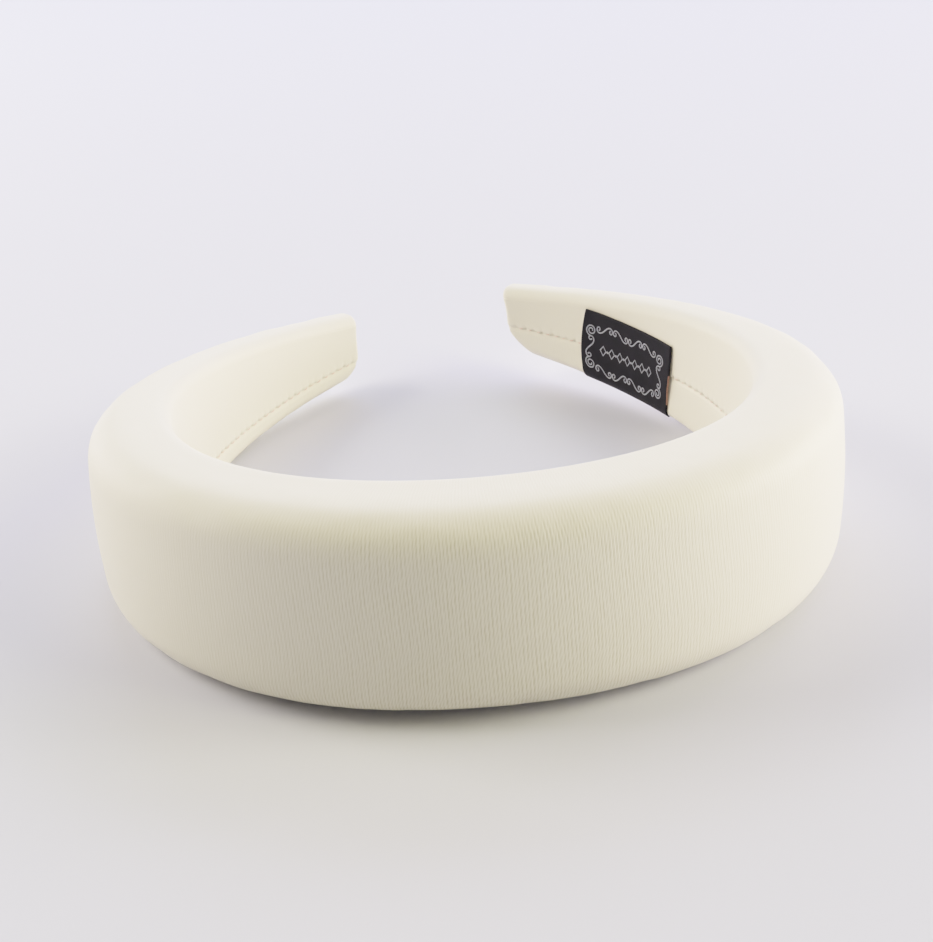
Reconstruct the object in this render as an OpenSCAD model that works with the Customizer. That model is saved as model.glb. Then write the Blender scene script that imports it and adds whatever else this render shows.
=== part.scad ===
// Padded headband, lying on the lower edge of its band with the crown towards -Y and the tips towards +Y.
// The shape is worked out in the hoop's own frame first: the middle of the crown's inner face is the origin,
// "out" is away from the head, "up" is across the band, and a share runs from 0 at the crown to 1 at a tip,
// with a minus sign on the leg at -X. Then the hoop is tipped onto its lower edge.

/* [Hoop] */
// Length of the hoop's inner face from tip to tip
girth = 376; // [340:4:420]
// Angle that each half of the hoop turns through, in degrees
half_turn = 139; // [125:1:144]
// Height of the labelled tip above the crown's level, and of the plain tip below it
tip_skew = 1.8; // [0:0.2:3]

/* [Padding] */
// Width of the band at the crown
crown_width = 40; // [32:1:48]
// Width of the band at the tips
tip_width = 16.5; // [15:0.5:22]
// Depth of the padding at the crown
crown_depth = 22; // [15:0.5:25]
// Depth of the padding at the tips
tip_depth = 7.5; // [6.5:0.25:10]
// Radius of the outer edges at the crown, which shrinks with the depth
outer_round = 8.2; // [5:0.2:10]
// Radius of the inner edges
inner_round = 3; // [2:0.25:3.25]
// Height by which the outer face swells at its middle, at the crown
swell = 1.5; // [0.5:0.25:3]
// Radius of the lower corner of the labelled tip
label_tip_round = 6.5; // [3:0.5:8]
// Radius of the lower corner of the plain tip
plain_tip_round = 4; // [3:0.5:8]
// Radius of the rolled end of each tip
end_roll = 1.5; // [1:0.25:2]

/* [Cover laps] */
// Thickness of the upper lap of the cover, which is folded double at the seam
upper_lap_wall = 1; // [0.8:0.1:1.5]
// Thickness of the lower lap of the cover where it dips under the fold
lower_lap_wall = 0.6; // [0.4:0.1:0.7]
// Gap between the laps, the padding and the label
fit_gap = 0.15; // [0.1:0.05:0.25]

/* [Label] */
// Length of the label along the leg
label_length = 30.5; // [20:0.5:36]
// Height of the label across the leg, with the end that is turned under
label_height = 19.5; // [12:0.5:20]
// Thickness of the label
label_thickness = 0.7; // [0.4:0.1:1]
// Distance along the leg from the tip to the middle of the label
label_from_tip = 40; // [30:1:60]
// Length of the label that is turned round the lower edge of the leg
label_tuck = 3.2; // [1:0.2:4]
// Lean of the label, as a share of the slope of the leg's lower edge
label_lean_share = 0.75; // [0:0.05:1]

/* [Rest] */
// Depth to which the padding is pressed flat where it lies
press = 0.5; // [0.2:0.1:1]

/* [Hidden] */

// Columns and rows of the hoop: each row is a station on one half, from the crown to the tip
// ALONG: share of the half hoop
// BEND: curvature, as a share of the mean
// WIDTH and DEPTH: share of the way from the tip's size to the crown's
ALONG = 0;
BEND = 1;
WIDTH = 2;
DEPTH = 3;
HOOP = [
    [0.00, 0.95, 1.00, 1.00],
    [0.25, 1.53, 0.98, 0.88],
    [0.50, 1.04, 0.80, 0.67],
    [0.75, 0.73, 0.43, 0.23],
    [1.00, 0.44, 0.00, 0.00],
];

// Columns and rows of the seam, from the plain tip to the labelled tip
// RISE: height of the seam above the band's lower edge, as a share of the band's width
RISE = 1;
SEAM = [
    [-1.0, 0.28],
    [-0.8, 0.21],
    [-0.6, 0.22],
    [0.0, 0.32],
    [0.6, 0.41],
    [1.0, 0.41],
];

// Shares of the half hoop between which the lower edge lies on the table
REST_FROM = 0.2;
REST_TO = 0.5;

// Steps of the curve's integration, of the rings along each half, and of the rings in each tip's last stretch
curve_steps = 200;
body_rings = 40;
tip_rings = 7;
tip_stretch = 16;
// Steps of an inner edge's arc, an outer edge's arc, the outer face, the rolled end and the fold
inner_steps = 4;
outer_steps = 5;
face_steps = 5;
roll_steps = 4;
fold_steps = 4;
// Steps of the label along and across
label_columns = 12;
label_rows = 9;

half_girth = girth / 2;
recess = upper_lap_wall + fit_gap;
recess_slope = 0.1;
degrees_per_radian = 180 / PI;

// Slope of a table's column at row i: level at a crown row, from the neighbours elsewhere
function row_slope(table, column, i) =
    let (before = max(i - 1, 0), after = min(i + 1, len(table) - 1))
    i == 0 && table[0][ALONG] == 0
        ? 0
        : (table[after][column] - table[before][column]) / (table[after][ALONG] - table[before][ALONG]);

// Smooth value of a table's column at a share
function smooth(table, column, share) =
    let (
        at = min(max(share, table[0][ALONG]), table[len(table) - 1][ALONG]),
        passed = [for (i = [0:len(table) - 2]) if (table[i][ALONG] <= at) i],
        i = passed[len(passed) - 1],
        span = table[i + 1][ALONG] - table[i][ALONG],
        f = (at - table[i][ALONG]) / span,
        start = table[i][column],
        end = table[i + 1][column],
        leave = row_slope(table, column, i) * span,
        arrive = row_slope(table, column, i + 1) * span
    )
    start + f * (leave + f * (3 * (end - start) - 2 * leave - arrive + f * (2 * (start - end) + leave + arrive)));

// The hoop's inner line: the bend summed into angles, and the angles into places
bends = [for (i = [0:curve_steps]) smooth(HOOP, BEND, i / curve_steps)];
summed_bends = [
    for (i = 0, sum = 0; i <= curve_steps; sum = sum + (bends[i] + bends[min(i + 1, curve_steps)]) / 2, i = i + 1)
        sum
];
turns = [for (sum = summed_bends) half_turn * sum / summed_bends[curve_steps]];
curve_step = half_girth / curve_steps;
places = [
    for (
        i = 0, place = [0, 0];
        i <= curve_steps;
        place = place + curve_step * heading((turns[i] + turns[min(i + 1, curve_steps)]) / 2), i = i + 1
    )
        place
];
turn_line = [for (i = [0:curve_steps]) [i / curve_steps, turns[i]]];
x_line = [for (i = [0:curve_steps]) [i / curve_steps, places[i].x]];
y_line = [for (i = [0:curve_steps]) [i / curve_steps, places[i].y]];

function heading(angle) = [cos(angle), sin(angle)];

// Place in the hoop's frame of a point given by its share, its distance out and its height
function hoop_point(share, out, up) =
    let (
        side = share < 0 ? -1 : 1,
        u = abs(share),
        turn = lookup(u, turn_line),
        x = lookup(u, x_line) + out * sin(turn),
        y = lookup(u, y_line) - out * cos(turn)
    )
    [side * x, y, up + side * tip_skew * u * u];

// Sizes of the band at a share
function half_width(share) =
    (tip_width + (crown_width - tip_width) * smooth(HOOP, WIDTH, abs(share))) / 2;
function depth(share) =
    tip_depth + (crown_depth - tip_depth) * smooth(HOOP, DEPTH, abs(share));
function corner_cut(share) =
    let (
        radius = share > 0 ? label_tip_round : plain_tip_round,
        past = max(0, abs(share) * half_girth - (half_girth - radius))
    )
    radius - sqrt(max(0, radius * radius - past * past));
function low(share) = corner_cut(share) - half_width(share);
function high(share) = half_width(share);
function seam(share) = half_width(share) * (2 * smooth(SEAM, RISE, share) - 1);

// Points on an arc: centre [out, up], radius, first and last angle
function arc(centre, radius, from, to, steps) =
    [for (i = [0:steps]) centre + radius * heading(from + (to - from) * i / steps)];

// Outline of the band across the hoop, anticlockwise from the lower end of the inner face's recess
function band_outline(share, inset, sink) =
    let (
        top = high(share) - inset,
        bottom = low(share) + inset,
        front = inset,
        back = depth(share) - inset,
        inner = inner_round - inset,
        outer = min(outer_round * depth(share) / crown_depth, back - inner_round) - inset / 2,
        face_top = top - outer,
        face_bottom = bottom + outer,
        middle = (top + bottom) / 2,
        half = (top - bottom) / 2,
        bow = swell * half * 2 / crown_width,
        square_cut = [
            [front + sink, bottom + inner + recess_slope],
            each arc([front + inner, bottom + inner], inner, 180, 270, inner_steps),
            each arc([back - outer, face_bottom], outer, 270, 360, outer_steps),
            each [for (i = [1:face_steps - 1]) [back, face_bottom + (face_top - face_bottom) * i / face_steps]],
            each arc([back - outer, face_top], outer, 0, 90, outer_steps),
            each arc([front + inner, top - inner], inner, 90, 180, inner_steps),
            [front + sink, top - inner - recess_slope]
        ]
    )
    [
        for (p = square_cut)
            let (padded = max(0, p.x - front - inner) / (back - front - inner))
            p - [bow * padded * pow((p.y - middle) / half, 2), 0]
    ];

// Shares at which a recess, and the laps that lie in it, stop short of the rolled end of a tip
gap_share = fit_gap / half_girth;
roll_start = 1 - end_roll / half_girth;
recess_end = roll_start - gap_share;
lap_end = recess_end - gap_share;

// Signed shares of the rings from tip to tip, closer together in each tip's last stretch
tip_start = 1 - tip_stretch / half_girth;
function ring_shares(end) =
    let (
        half_shares = [
            for (i = [1:body_rings]) tip_start * i / body_rings,
            for (i = [1:tip_rings]) tip_start + (end - tip_start) * i / tip_rings
        ]
    )
    [
        for (i = [len(half_shares) - 1:-1:0]) -half_shares[i],
        0,
        each half_shares
    ];

// One ring of the band, and the rings of the rolled end on one side
function band_ring(share, inset, sink) = [for (p = band_outline(share, inset, sink)) hoop_point(share, p.x, p.y)];
function roll_ring(side, step) =
    let (angle = 90 * step / roll_steps)
    band_ring(side * (roll_start + end_roll * sin(angle) / half_girth), end_roll * (1 - cos(angle)), 0);
band_rings = [
    for (step = [roll_steps:-1:0]) roll_ring(-1, step),
    for (share = ring_shares(recess_end)) band_ring(share, 0, recess),
    for (step = [0:roll_steps]) roll_ring(1, step)
];

// How the hoop lies: tipped about X until its lower edge is level between the two rest shares,
// and about Y until both legs' lower edges are level halfway between them
function lower_edge(share) =
    hoop_point(share, (inner_round + depth(share) - outer_round) / 2, low(share));
rest_from = lower_edge(REST_FROM);
rest_to = lower_edge(REST_TO);
rest_tilt = atan2(rest_to.z - rest_from.z, rest_to.y - rest_from.y);
rest_middle = (REST_FROM + REST_TO) / 2;
rest_span = lower_edge(rest_middle) - lower_edge(-rest_middle);
rest_lean = atan2(rest_span.z, rest_span.x);
function turned(a, b, angle) = [a * cos(angle) + b * sin(angle), b * cos(angle) - a * sin(angle)];
function tipped(p) =
    let (about_x = turned(p.y, p.z, rest_tilt), about_y = turned(p.x, about_x.y, rest_lean))
    [about_y.x, about_x.x, about_y.y];
tipped_band = [for (ring = band_rings, p = ring) tipped(p)];
tipped_x = [for (p = tipped_band) p.x];
tipped_y = [for (p = tipped_band) p.y];
middle_x = (min(tipped_x) + max(tipped_x)) / 2;
middle_y = (min(tipped_y) + max(tipped_y)) / 2;
table_z = min([for (p = tipped_band) p.z]) + press;
function at_rest(p) =
    let (q = tipped(p))
    [q.x - middle_x, q.y - middle_y, max(q.z - table_z, 0)];

// A solid through rings of equally many points
module skin(rings) {
    count = len(rings[0]);
    end = len(rings) - 1;
    polyhedron(
        points = [for (ring = rings, p = ring) at_rest(p)],
        faces = [
            [for (j = [count - 1:-1:0]) j],
            [for (j = [0:count - 1]) end * count + j],
            for (i = [0:end - 1], j = [0:count - 1])
                let (k = (j + 1) % count)
                each [
                    [i * count + j, i * count + k, (i + 1) * count + j],
                    [i * count + k, (i + 1) * count + k, (i + 1) * count + j]
                ]
        ]
    );
}

// Padded main form: the covered padding from the upper inner edge round the outside to the lower one
module padded_band() {
    color("ivory") skin(band_rings);
}

// One ring of a lap
function lap_ring(share, outline) = [for (p = outline) hoop_point(share, p.x, p.y)];

// Wide upper lap of the cover on the inner face, with its lower edge folded under
module upper_lap_panel() {
    fold = upper_lap_wall / 2;
    color("floralwhite") skin([
        for (share = ring_shares(lap_end))
            let (top = high(share) - inner_round - recess_slope - fit_gap)
            lap_ring(share, [
                each arc([fold, seam(share) + fold], fold, 180, 360, fold_steps),
                [upper_lap_wall, top],
                [0, top]
            ])
    ]);
}

// Narrow lower lap of the cover on the inner face, dipping under the fold
module lower_lap_panel() {
    color("oldlace") skin([
        for (share = ring_shares(lap_end))
            let (
                bottom = low(share) + inner_round + recess_slope + fit_gap,
                top = max(seam(share) - fit_gap, bottom + lower_lap_wall)
            )
            lap_ring(share, [
                [0, bottom],
                [upper_lap_wall, bottom],
                [upper_lap_wall, top],
                [upper_lap_wall - lower_lap_wall, top]
            ])
    ]);
}

// Label: its middle along the leg, and its lean, which follows the leg's lower edge
label_share = 1 - label_from_tip / half_girth;
label_reach = label_length / 2 / half_girth;
label_lean =
    label_lean_share * atan2(low(label_share + label_reach) - low(label_share - label_reach), label_length);

// Place on the label, given along from its middle, up from its lower edge and off the leg's surface
function label_point(along, up, off) =
    let (
        share = label_share + (along * cos(label_lean) - up * sin(label_lean)) / half_girth,
        corner = low(share) + inner_round,
        base = low(label_share) + inner_round - label_tuck,
        rise = base + along * sin(label_lean) + up * cos(label_lean) - corner,
        bend = -min(rise, 0) / inner_round * degrees_per_radian,
        reach = inner_round + off
    )
    hoop_point(share, inner_round - reach * cos(bend), corner + max(rise, 0) - reach * sin(bend));

// Woven label on the inner face of the leg at +X, its lower end turned round the leg's edge
module woven_label() {
    back = fit_gap;
    front = fit_gap + label_thickness;
    color("#322f32") skin([
        for (i = [0:label_columns])
            let (along = label_length * (i / label_columns - 0.5))
            [
                for (j = [0:label_rows]) label_point(along, label_height * j / label_rows, back),
                for (j = [label_rows:-1:0]) label_point(along, label_height * j / label_rows, front)
            ]
    ]);
}

padded_band();
upper_lap_panel();
lower_lap_panel();
woven_label();
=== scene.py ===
"""Looks of a padded headband: satin cover, inner laps, hand stitches and woven label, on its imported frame."""

import logging
import math
from dataclasses import dataclass
from enum import Enum
from functools import cached_property
from typing import NamedTuple

import bmesh
import bpy
import numpy as np
from mathutils import Matrix, Vector


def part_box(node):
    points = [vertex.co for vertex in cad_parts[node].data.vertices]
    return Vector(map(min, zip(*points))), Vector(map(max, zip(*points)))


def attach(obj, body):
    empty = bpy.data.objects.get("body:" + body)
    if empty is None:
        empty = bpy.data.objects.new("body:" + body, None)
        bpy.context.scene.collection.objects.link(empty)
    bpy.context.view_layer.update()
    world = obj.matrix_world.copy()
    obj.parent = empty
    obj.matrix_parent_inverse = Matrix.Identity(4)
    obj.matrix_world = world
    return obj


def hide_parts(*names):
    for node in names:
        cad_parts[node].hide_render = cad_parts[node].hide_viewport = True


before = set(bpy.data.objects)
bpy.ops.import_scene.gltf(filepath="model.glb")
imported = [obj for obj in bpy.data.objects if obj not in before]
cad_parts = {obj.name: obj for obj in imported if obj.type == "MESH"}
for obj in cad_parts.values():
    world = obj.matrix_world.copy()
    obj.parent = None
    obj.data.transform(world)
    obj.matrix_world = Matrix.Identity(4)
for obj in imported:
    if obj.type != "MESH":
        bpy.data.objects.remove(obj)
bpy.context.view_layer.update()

LOG = logging.getLogger("padded_headband")
MM = 0.001
DEGREE = math.pi / 180
BODY = "root"
UV_NAME = "cloth_mm"


class Slot(Enum):
    """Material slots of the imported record."""

    COVER = "cover_cloth"
    LAP = "lap_cloth"
    LABEL = "label_cloth"


class HoopRow(NamedTuple):
    """A station on one half of the hoop, from the crown at 0 to the tip at 1."""

    along: float
    bend: float
    width: float
    depth: float


class SeamRow(NamedTuple):
    """Height of the seam above the band's lower edge, as a share of the band's width."""

    along: float
    rise: float


class TipRow(NamedTuple):
    """How far a tip reaches past the hoop's own end, at a share of the band's width above its lower edge."""

    height: float
    label_lead: float
    plain_lead: float


class Band(NamedTuple):
    """Sizes of the band at some shares."""

    low: np.ndarray
    high: np.ndarray
    depth: np.ndarray


def smoothstep(value: np.ndarray) -> np.ndarray:
    """Rises softly from 0 to 1 while value goes from 0 to 1."""
    held = np.clip(value, 0, 1)
    return held * held * (3 - 2 * held)


def ramp(value: np.ndarray, start: float, length: float) -> np.ndarray:
    """Rises softly from 0 at the start to 1 after a length."""
    return smoothstep((value - start) / length)


def bell(distance: np.ndarray, reach: float) -> np.ndarray:
    """Falls softly from 1 at no distance to about a third at its reach."""
    return np.exp(-((distance / reach) ** 2))


def smooth(rows: tuple[tuple, ...], column: str, share: np.ndarray) -> np.ndarray:
    """Draws a smooth curve through a table's column.

    Args:
        rows: Named rows, with their place in the first field.
        column: Field that gives the height of the curve.
        share: Places at which the curve is read.

    Returns:
        The curve's height at each place. It is level at a row at the crown.
    """
    along = np.array([row[0] for row in rows])
    value = np.array([getattr(row, column) for row in rows])
    slope = np.gradient(value, along)
    slope[1:-1] = (value[2:] - value[:-2]) / (along[2:] - along[:-2])
    if along[0] == 0:
        slope[0] = 0
    at = np.clip(share, along[0], along[-1])
    i = np.clip(np.searchsorted(along, at, side="right") - 1, 0, len(rows) - 2)
    span = along[i + 1] - along[i]
    f = (at - along[i]) / span
    start, end = value[i], value[i + 1]
    leave, arrive = slope[i] * span, slope[i + 1] * span
    cubic = 2 * (start - end) + leave + arrive
    return start + f * (leave + f * (3 * (end - start) - 2 * leave - arrive + f * cubic))


@dataclass(frozen=True)
class Hoop:
    """The hoop's inner line, the band's sizes along it and how it lies, with the sizes of the part's source.

    A share runs from 0 at the crown to 1 at a tip, and is negative on the plain leg. Out is away from the
    head and up is across the band.
    """

    girth: float = 376 * MM
    half_turn: float = 139 * DEGREE
    tip_skew: float = 1.8 * MM
    crown_width: float = 40 * MM
    tip_width: float = 16.5 * MM
    crown_depth: float = 22 * MM
    tip_depth: float = 7.5 * MM
    outer_round: float = 8.2 * MM
    inner_round: float = 3 * MM
    swell: float = 1.5 * MM
    label_tip_round: float = 6.5 * MM
    plain_tip_round: float = 4 * MM
    end_roll: float = 1.5 * MM
    rest_from: float = 0.2
    rest_to: float = 0.5
    press: float = 0.5 * MM
    stations: tuple[HoopRow, ...] = (
        HoopRow(0.00, 0.95, 1.00, 1.00),
        HoopRow(0.25, 1.53, 0.98, 0.88),
        HoopRow(0.50, 1.04, 0.80, 0.67),
        HoopRow(0.75, 0.73, 0.43, 0.23),
        HoopRow(1.00, 0.44, 0.00, 0.00),
    )
    seam_rows: tuple[SeamRow, ...] = (
        SeamRow(-1.0, 0.28),
        SeamRow(-0.8, 0.21),
        SeamRow(-0.6, 0.22),
        SeamRow(0.0, 0.32),
        SeamRow(0.6, 0.41),
        SeamRow(1.0, 0.41),
    )
    tip_rows: tuple[TipRow, ...] = (
        TipRow(0.00, -1.2 * MM, -1.2 * MM),
        TipRow(0.35, 0.6 * MM, 0.3 * MM),
        TipRow(0.70, 1.3 * MM, 0.5 * MM),
        TipRow(1.00, 2.6 * MM, 1.1 * MM),
    )
    tip_zone: float = 14 * MM
    curve_steps: int = 400
    shift_steps: int = 240

    @property
    def half_girth(self) -> float:
        """Length of one half of the inner line."""
        return self.girth / 2

    @cached_property
    def line(self) -> tuple[np.ndarray, np.ndarray, np.ndarray, np.ndarray]:
        """Works out one half of the inner line.

        Returns:
            Shares along it, and its angle, x and y there.
        """
        share = np.linspace(0, 1, self.curve_steps + 1)
        bend = smooth(self.stations, "bend", share)
        summed = np.concatenate([[0], np.cumsum((bend[1:] + bend[:-1]) / 2)])
        turn = self.half_turn * summed / summed[-1]
        middle = (turn[1:] + turn[:-1]) / 2
        step = self.half_girth / self.curve_steps
        x = np.concatenate([[0], np.cumsum(np.cos(middle) * step)])
        y = np.concatenate([[0], np.cumsum(np.sin(middle) * step)])
        return share, turn, x, y

    def band(self, share: np.ndarray) -> Band:
        """Works out the band's sizes.

        Args:
            share: Signed shares along the hoop.

        Returns:
            Its lower and upper edge and its depth at each share.
        """
        u = np.abs(share)
        half = (self.tip_width + (self.crown_width - self.tip_width) * smooth(self.stations, "width", u)) / 2
        depth = self.tip_depth + (self.crown_depth - self.tip_depth) * smooth(self.stations, "depth", u)
        radius = np.where(share > 0, self.label_tip_round, self.plain_tip_round)
        past = np.clip(u * self.half_girth - (self.half_girth - radius), 0, radius)
        cut = radius - np.sqrt(radius**2 - past**2)
        return Band(cut - half, half, depth)

    def seam(self, share: np.ndarray) -> np.ndarray:
        """Height of the seam across the band at some shares."""
        return self.band(share).high * (2 * smooth(self.seam_rows, "rise", share) - 1)

    def hoop_point(self, share: np.ndarray, out: np.ndarray, up: np.ndarray) -> np.ndarray:
        """Finds places in the hoop's own frame.

        Args:
            share: Signed shares along the hoop.
            out: Distances away from the head.
            up: Heights across the band.

        Returns:
            The places, with x, y and z in the last axis.
        """
        share, out, up = np.broadcast_arrays(share, out, up)
        side, u = np.where(share < 0, -1.0, 1.0), np.abs(share)
        at, turn, x, y = self.line
        angle = np.interp(u, at, turn)
        past = np.clip(u - 1, 0, None) * self.half_girth
        place_x = np.interp(u, at, x) + past * np.cos(angle) + out * np.sin(angle)
        place_y = np.interp(u, at, y) + past * np.sin(angle) - out * np.cos(angle)
        return np.stack([side * place_x, place_y, up + side * self.tip_skew * u * u], axis=-1)

    def lower_edge(self, share: float) -> np.ndarray:
        """Place of the band's lower edge in the hoop's own frame."""
        band = self.band(np.array(share))
        return self.hoop_point(share, (self.inner_round + band.depth - self.outer_round) / 2, band.low)

    @cached_property
    def tip(self) -> np.ndarray:
        """Works out how the hoop turns to lie on its lower edge.

        Returns:
            The turn, as a 3 by 3 matrix.
        """
        near, far = self.lower_edge(self.rest_from), self.lower_edge(self.rest_to)
        middle = (self.rest_from + self.rest_to) / 2
        span = self.lower_edge(middle) - self.lower_edge(-middle)
        tilt = Matrix.Rotation(-math.atan2(far[2] - near[2], far[1] - near[1]), 3, "X")
        lean = Matrix.Rotation(math.atan2(span[2], span[0]), 3, "Y")
        return np.array(lean @ tilt)

    @cached_property
    def shift(self) -> np.ndarray:
        """Works out where the tipped band comes to lie.

        Returns:
            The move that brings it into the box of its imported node.
        """
        shares = np.linspace(-1, 1, self.shift_steps + 1)
        out, up = np.moveaxis(Section(self).outline(shares), -1, 0)
        tipped = (self.hoop_point(shares[:, None], out, up) @ self.tip.T).reshape(-1, 3)
        low, high = tipped.min(axis=0), tipped.max(axis=0)
        node_low, node_high = (np.array(corner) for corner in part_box("padded_band"))
        move = (node_low + node_high - low - high) / 2
        move[2] = node_low[2] - low[2] - self.press
        return move

    def lay(self, places: np.ndarray) -> np.ndarray:
        """Lays places in the hoop's own frame down at rest."""
        return places @ self.tip.T + self.shift

    def lead(self, share: np.ndarray, up: np.ndarray) -> np.ndarray:
        """Draws the cloth at a tip along the hoop.

        Args:
            share: Signed shares along the hoop.
            up: Heights across the band.

        Returns:
            How far each place moves, as a share of half the hoop.
        """
        band = self.band(share)
        height = (up + band.high) / (2 * band.high)
        label, plain = (smooth(self.tip_rows, lead, height) for lead in ("label_lead", "plain_lead"))
        near = smoothstep(1 - (1 - np.abs(share)) * self.half_girth / self.tip_zone)
        return near * np.where(share > 0, label, plain) / self.half_girth

    def at_rest(self, share: np.ndarray, out: np.ndarray, up: np.ndarray) -> np.ndarray:
        """Places of the resting hoop, given as for hoop_point, with the cloth's own shape at the tips."""
        share, out, up = np.broadcast_arrays(share, out, up)
        return self.lay(self.hoop_point(share + np.sign(share) * self.lead(share, up), out, up))


@dataclass(frozen=True)
class Section:
    """The band's outline across the hoop, from the upper lap's root round the outside to the lower one's."""

    hoop: Hoop
    inner_steps: int = 5
    flat_steps: int = 5
    outer_steps: int = 8
    face_steps: int = 12

    @cached_property
    def arc_parts(self) -> tuple[np.ndarray, ...]:
        """Lists the angles along the four round corners.

        Returns:
            One row of angles for each, from the upper inner corner to the lower inner one.
        """
        inner, outer = self.inner_steps + 1, self.outer_steps + 1
        turns = ((180, 90, inner), (90, 0, outer), (0, -90, outer), (-90, -180, inner))
        return tuple(np.linspace(start, end, count) * DEGREE for start, end, count in turns)

    def outline(self, share: np.ndarray, inset: np.ndarray | float = 0.0) -> np.ndarray:
        """Works out the outline at each share.

        Args:
            share: Signed shares along the hoop.
            inset: Distance by which the outline shrinks, as in a tip's rolled end.

        Returns:
            Rows of out and up, one row for each share.
        """
        hoop, band = self.hoop, self.hoop.band(share)
        inset = np.broadcast_to(inset, share.shape)[:, None]
        top, bottom = band.high[:, None] - inset, band.low[:, None] + inset
        back = band.depth[:, None] - inset
        inner = hoop.inner_round - inset
        outer = hoop.outer_round * band.depth[:, None] / hoop.crown_depth
        outer = np.minimum(outer, back - hoop.inner_round) - inset / 2
        upper_in, upper_out, lower_out, lower_in = self.arc_parts
        flat = np.linspace(0, 1, self.flat_steps + 1)[1:-1]
        face = np.linspace(0, 1, self.face_steps + 1)[1:-1]
        near, far = inset + inner, back - outer
        out = np.concatenate([
            near + inner * np.cos(upper_in), near + (far - near) * flat, far + outer * np.cos(upper_out),
            back * np.ones_like(face), far + outer * np.cos(lower_out), far + (near - far) * flat,
            near + inner * np.cos(lower_in),
        ], axis=1)
        up = np.concatenate([
            top - inner + inner * np.sin(upper_in), top * np.ones_like(flat),
            top - outer + outer * np.sin(upper_out),
            top - outer + (bottom - top + 2 * outer) * face, bottom + outer + outer * np.sin(lower_out),
            bottom * np.ones_like(flat), bottom + inner + inner * np.sin(lower_in),
        ], axis=1)
        middle, half = (top + bottom) / 2, (top - bottom) / 2
        bow = hoop.swell * half * 2 / hoop.crown_width
        padded = np.clip(out - near, 0, None) / (back - near)
        out = out - bow * padded * ((up - middle) / half) ** 2
        return np.stack([out, up], axis=-1)


class Root(Enum):
    """The edge of the inner face at which a lap parts from the band."""

    UPPER = (1, -0.5 * MM, 50.0)
    LOWER = (-1, -2.0 * MM, 80.0)

    def __init__(self, side: int, start: float, rate: float) -> None:
        """Names an edge's numbers.

        Args:
            side: 1 at the band's upper edge and -1 at its lower edge.
            start: Distance from the flat inner face's edge at which the lap parts from the band.
            rate: Rate at which the band dips away under the lap, per metre.
        """
        self.side, self.start, self.rate = side, start, rate


@dataclass(frozen=True)
class InnerFace:
    """Places on the band's inner face, given by a distance from the flat face's upper or lower edge."""

    hoop: Hoop
    recess: float = 1.15 * MM

    def edge(self, share: np.ndarray, root: Root) -> np.ndarray:
        """Height of the flat face's edge at some shares."""
        band = self.hoop.band(share)
        return band.high - self.hoop.inner_round if root is Root.UPPER else band.low + self.hoop.inner_round

    def profile(self, share: np.ndarray, root: Root, t: np.ndarray,
                sink: np.ndarray) -> tuple[np.ndarray, np.ndarray]:
        """Finds out and up of places on the inner face and on the round edge beyond it.

        Args:
            share: Signed shares along the hoop.
            root: Edge from which t is measured.
            t: Distances from the flat face's edge towards the middle, negative round the corner.
            sink: Depths below the surface.

        Returns:
            Arrays of out and of up.
        """
        radius = self.hoop.inner_round
        angle = np.clip(-t, 0, None) / radius
        reach = radius - sink
        out = np.where(t < 0, radius - reach * np.cos(angle), sink)
        beyond = np.where(t < 0, reach * np.sin(angle), -t)
        return out, self.edge(share, root) + root.side * beyond

    def dip(self, root: Root, t: np.ndarray) -> np.ndarray:
        """Depth of the band below the surface, under a lap."""
        past = np.clip(t - root.start, 0, None)
        return np.minimum(root.rate * past**2, self.recess)


def signed_volume(points: np.ndarray, faces: np.ndarray) -> float:
    """Volume that quads enclose, negative where they point inwards."""
    a, b, c, d = (points[faces[:, i]] for i in range(4))
    return float((np.cross(a, b) * c).sum() + (np.cross(a, c) * d).sum()) / 6


def grid_mesh(name: str, points: np.ndarray, uv: np.ndarray, closed: bool) -> bpy.types.Mesh:
    """Makes a mesh from a grid of points.

    Args:
        name: Name of the mesh.
        points: Rows of places, in metres.
        uv: Rows of places on the cloth in millimetres, with one more column than points if closed.
        closed: Whether the last column joins the first.

    Returns:
        A smooth mesh with outward faces, whose open ends are filled if it is closed.
    """
    rows, columns = points.shape[:2]
    across = columns if closed else columns - 1
    i, j = (part.ravel() for part in np.meshgrid(np.arange(rows - 1), np.arange(across), indexing="ij"))
    k = (j + 1) % columns
    faces = np.stack([i * columns + j, i * columns + k, (i + 1) * columns + k, (i + 1) * columns + j], axis=1)
    corners = np.stack([uv[i, j], uv[i, j + 1], uv[i + 1, j + 1], uv[i + 1, j]], axis=1)
    flat = points.reshape(-1, 3)
    flip = closed and signed_volume(flat, faces) < 0
    if flip:
        faces, corners = faces[:, ::-1], corners[:, ::-1]
    polygons = faces.tolist()
    corner_uv = corners.reshape(-1, 2)
    if closed:
        first, last = list(range(columns)), list(range((rows - 1) * columns, rows * columns))
        ends = [first, last[::-1]] if flip else [first[::-1], last]
        polygons += ends
        end_uv = [uv.reshape(-1, 2)[0]] * columns * 2
        corner_uv = np.concatenate([corner_uv, end_uv])
    mesh = bpy.data.meshes.new(name)
    mesh.from_pydata(flat.tolist(), [], polygons)
    layer = mesh.uv_layers.new(name=UV_NAME)
    layer.data.foreach_set("uv", np.ascontiguousarray(corner_uv, dtype=np.float32).ravel())
    mesh.shade_smooth()
    return mesh


def new_piece(name: str, mesh: bpy.types.Mesh, material: bpy.types.Material) -> bpy.types.Object:
    """Puts a mesh into the scene.

    Args:
        name: Name of the piece.
        mesh: Its mesh, already in place.
        material: The material of all its faces.

    Returns:
        The piece, with its origin at 0.
    """
    piece = bpy.data.objects.new(name, mesh)
    bpy.context.scene.collection.objects.link(piece)
    mesh.materials.clear()
    mesh.materials.append(material)
    return piece


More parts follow.
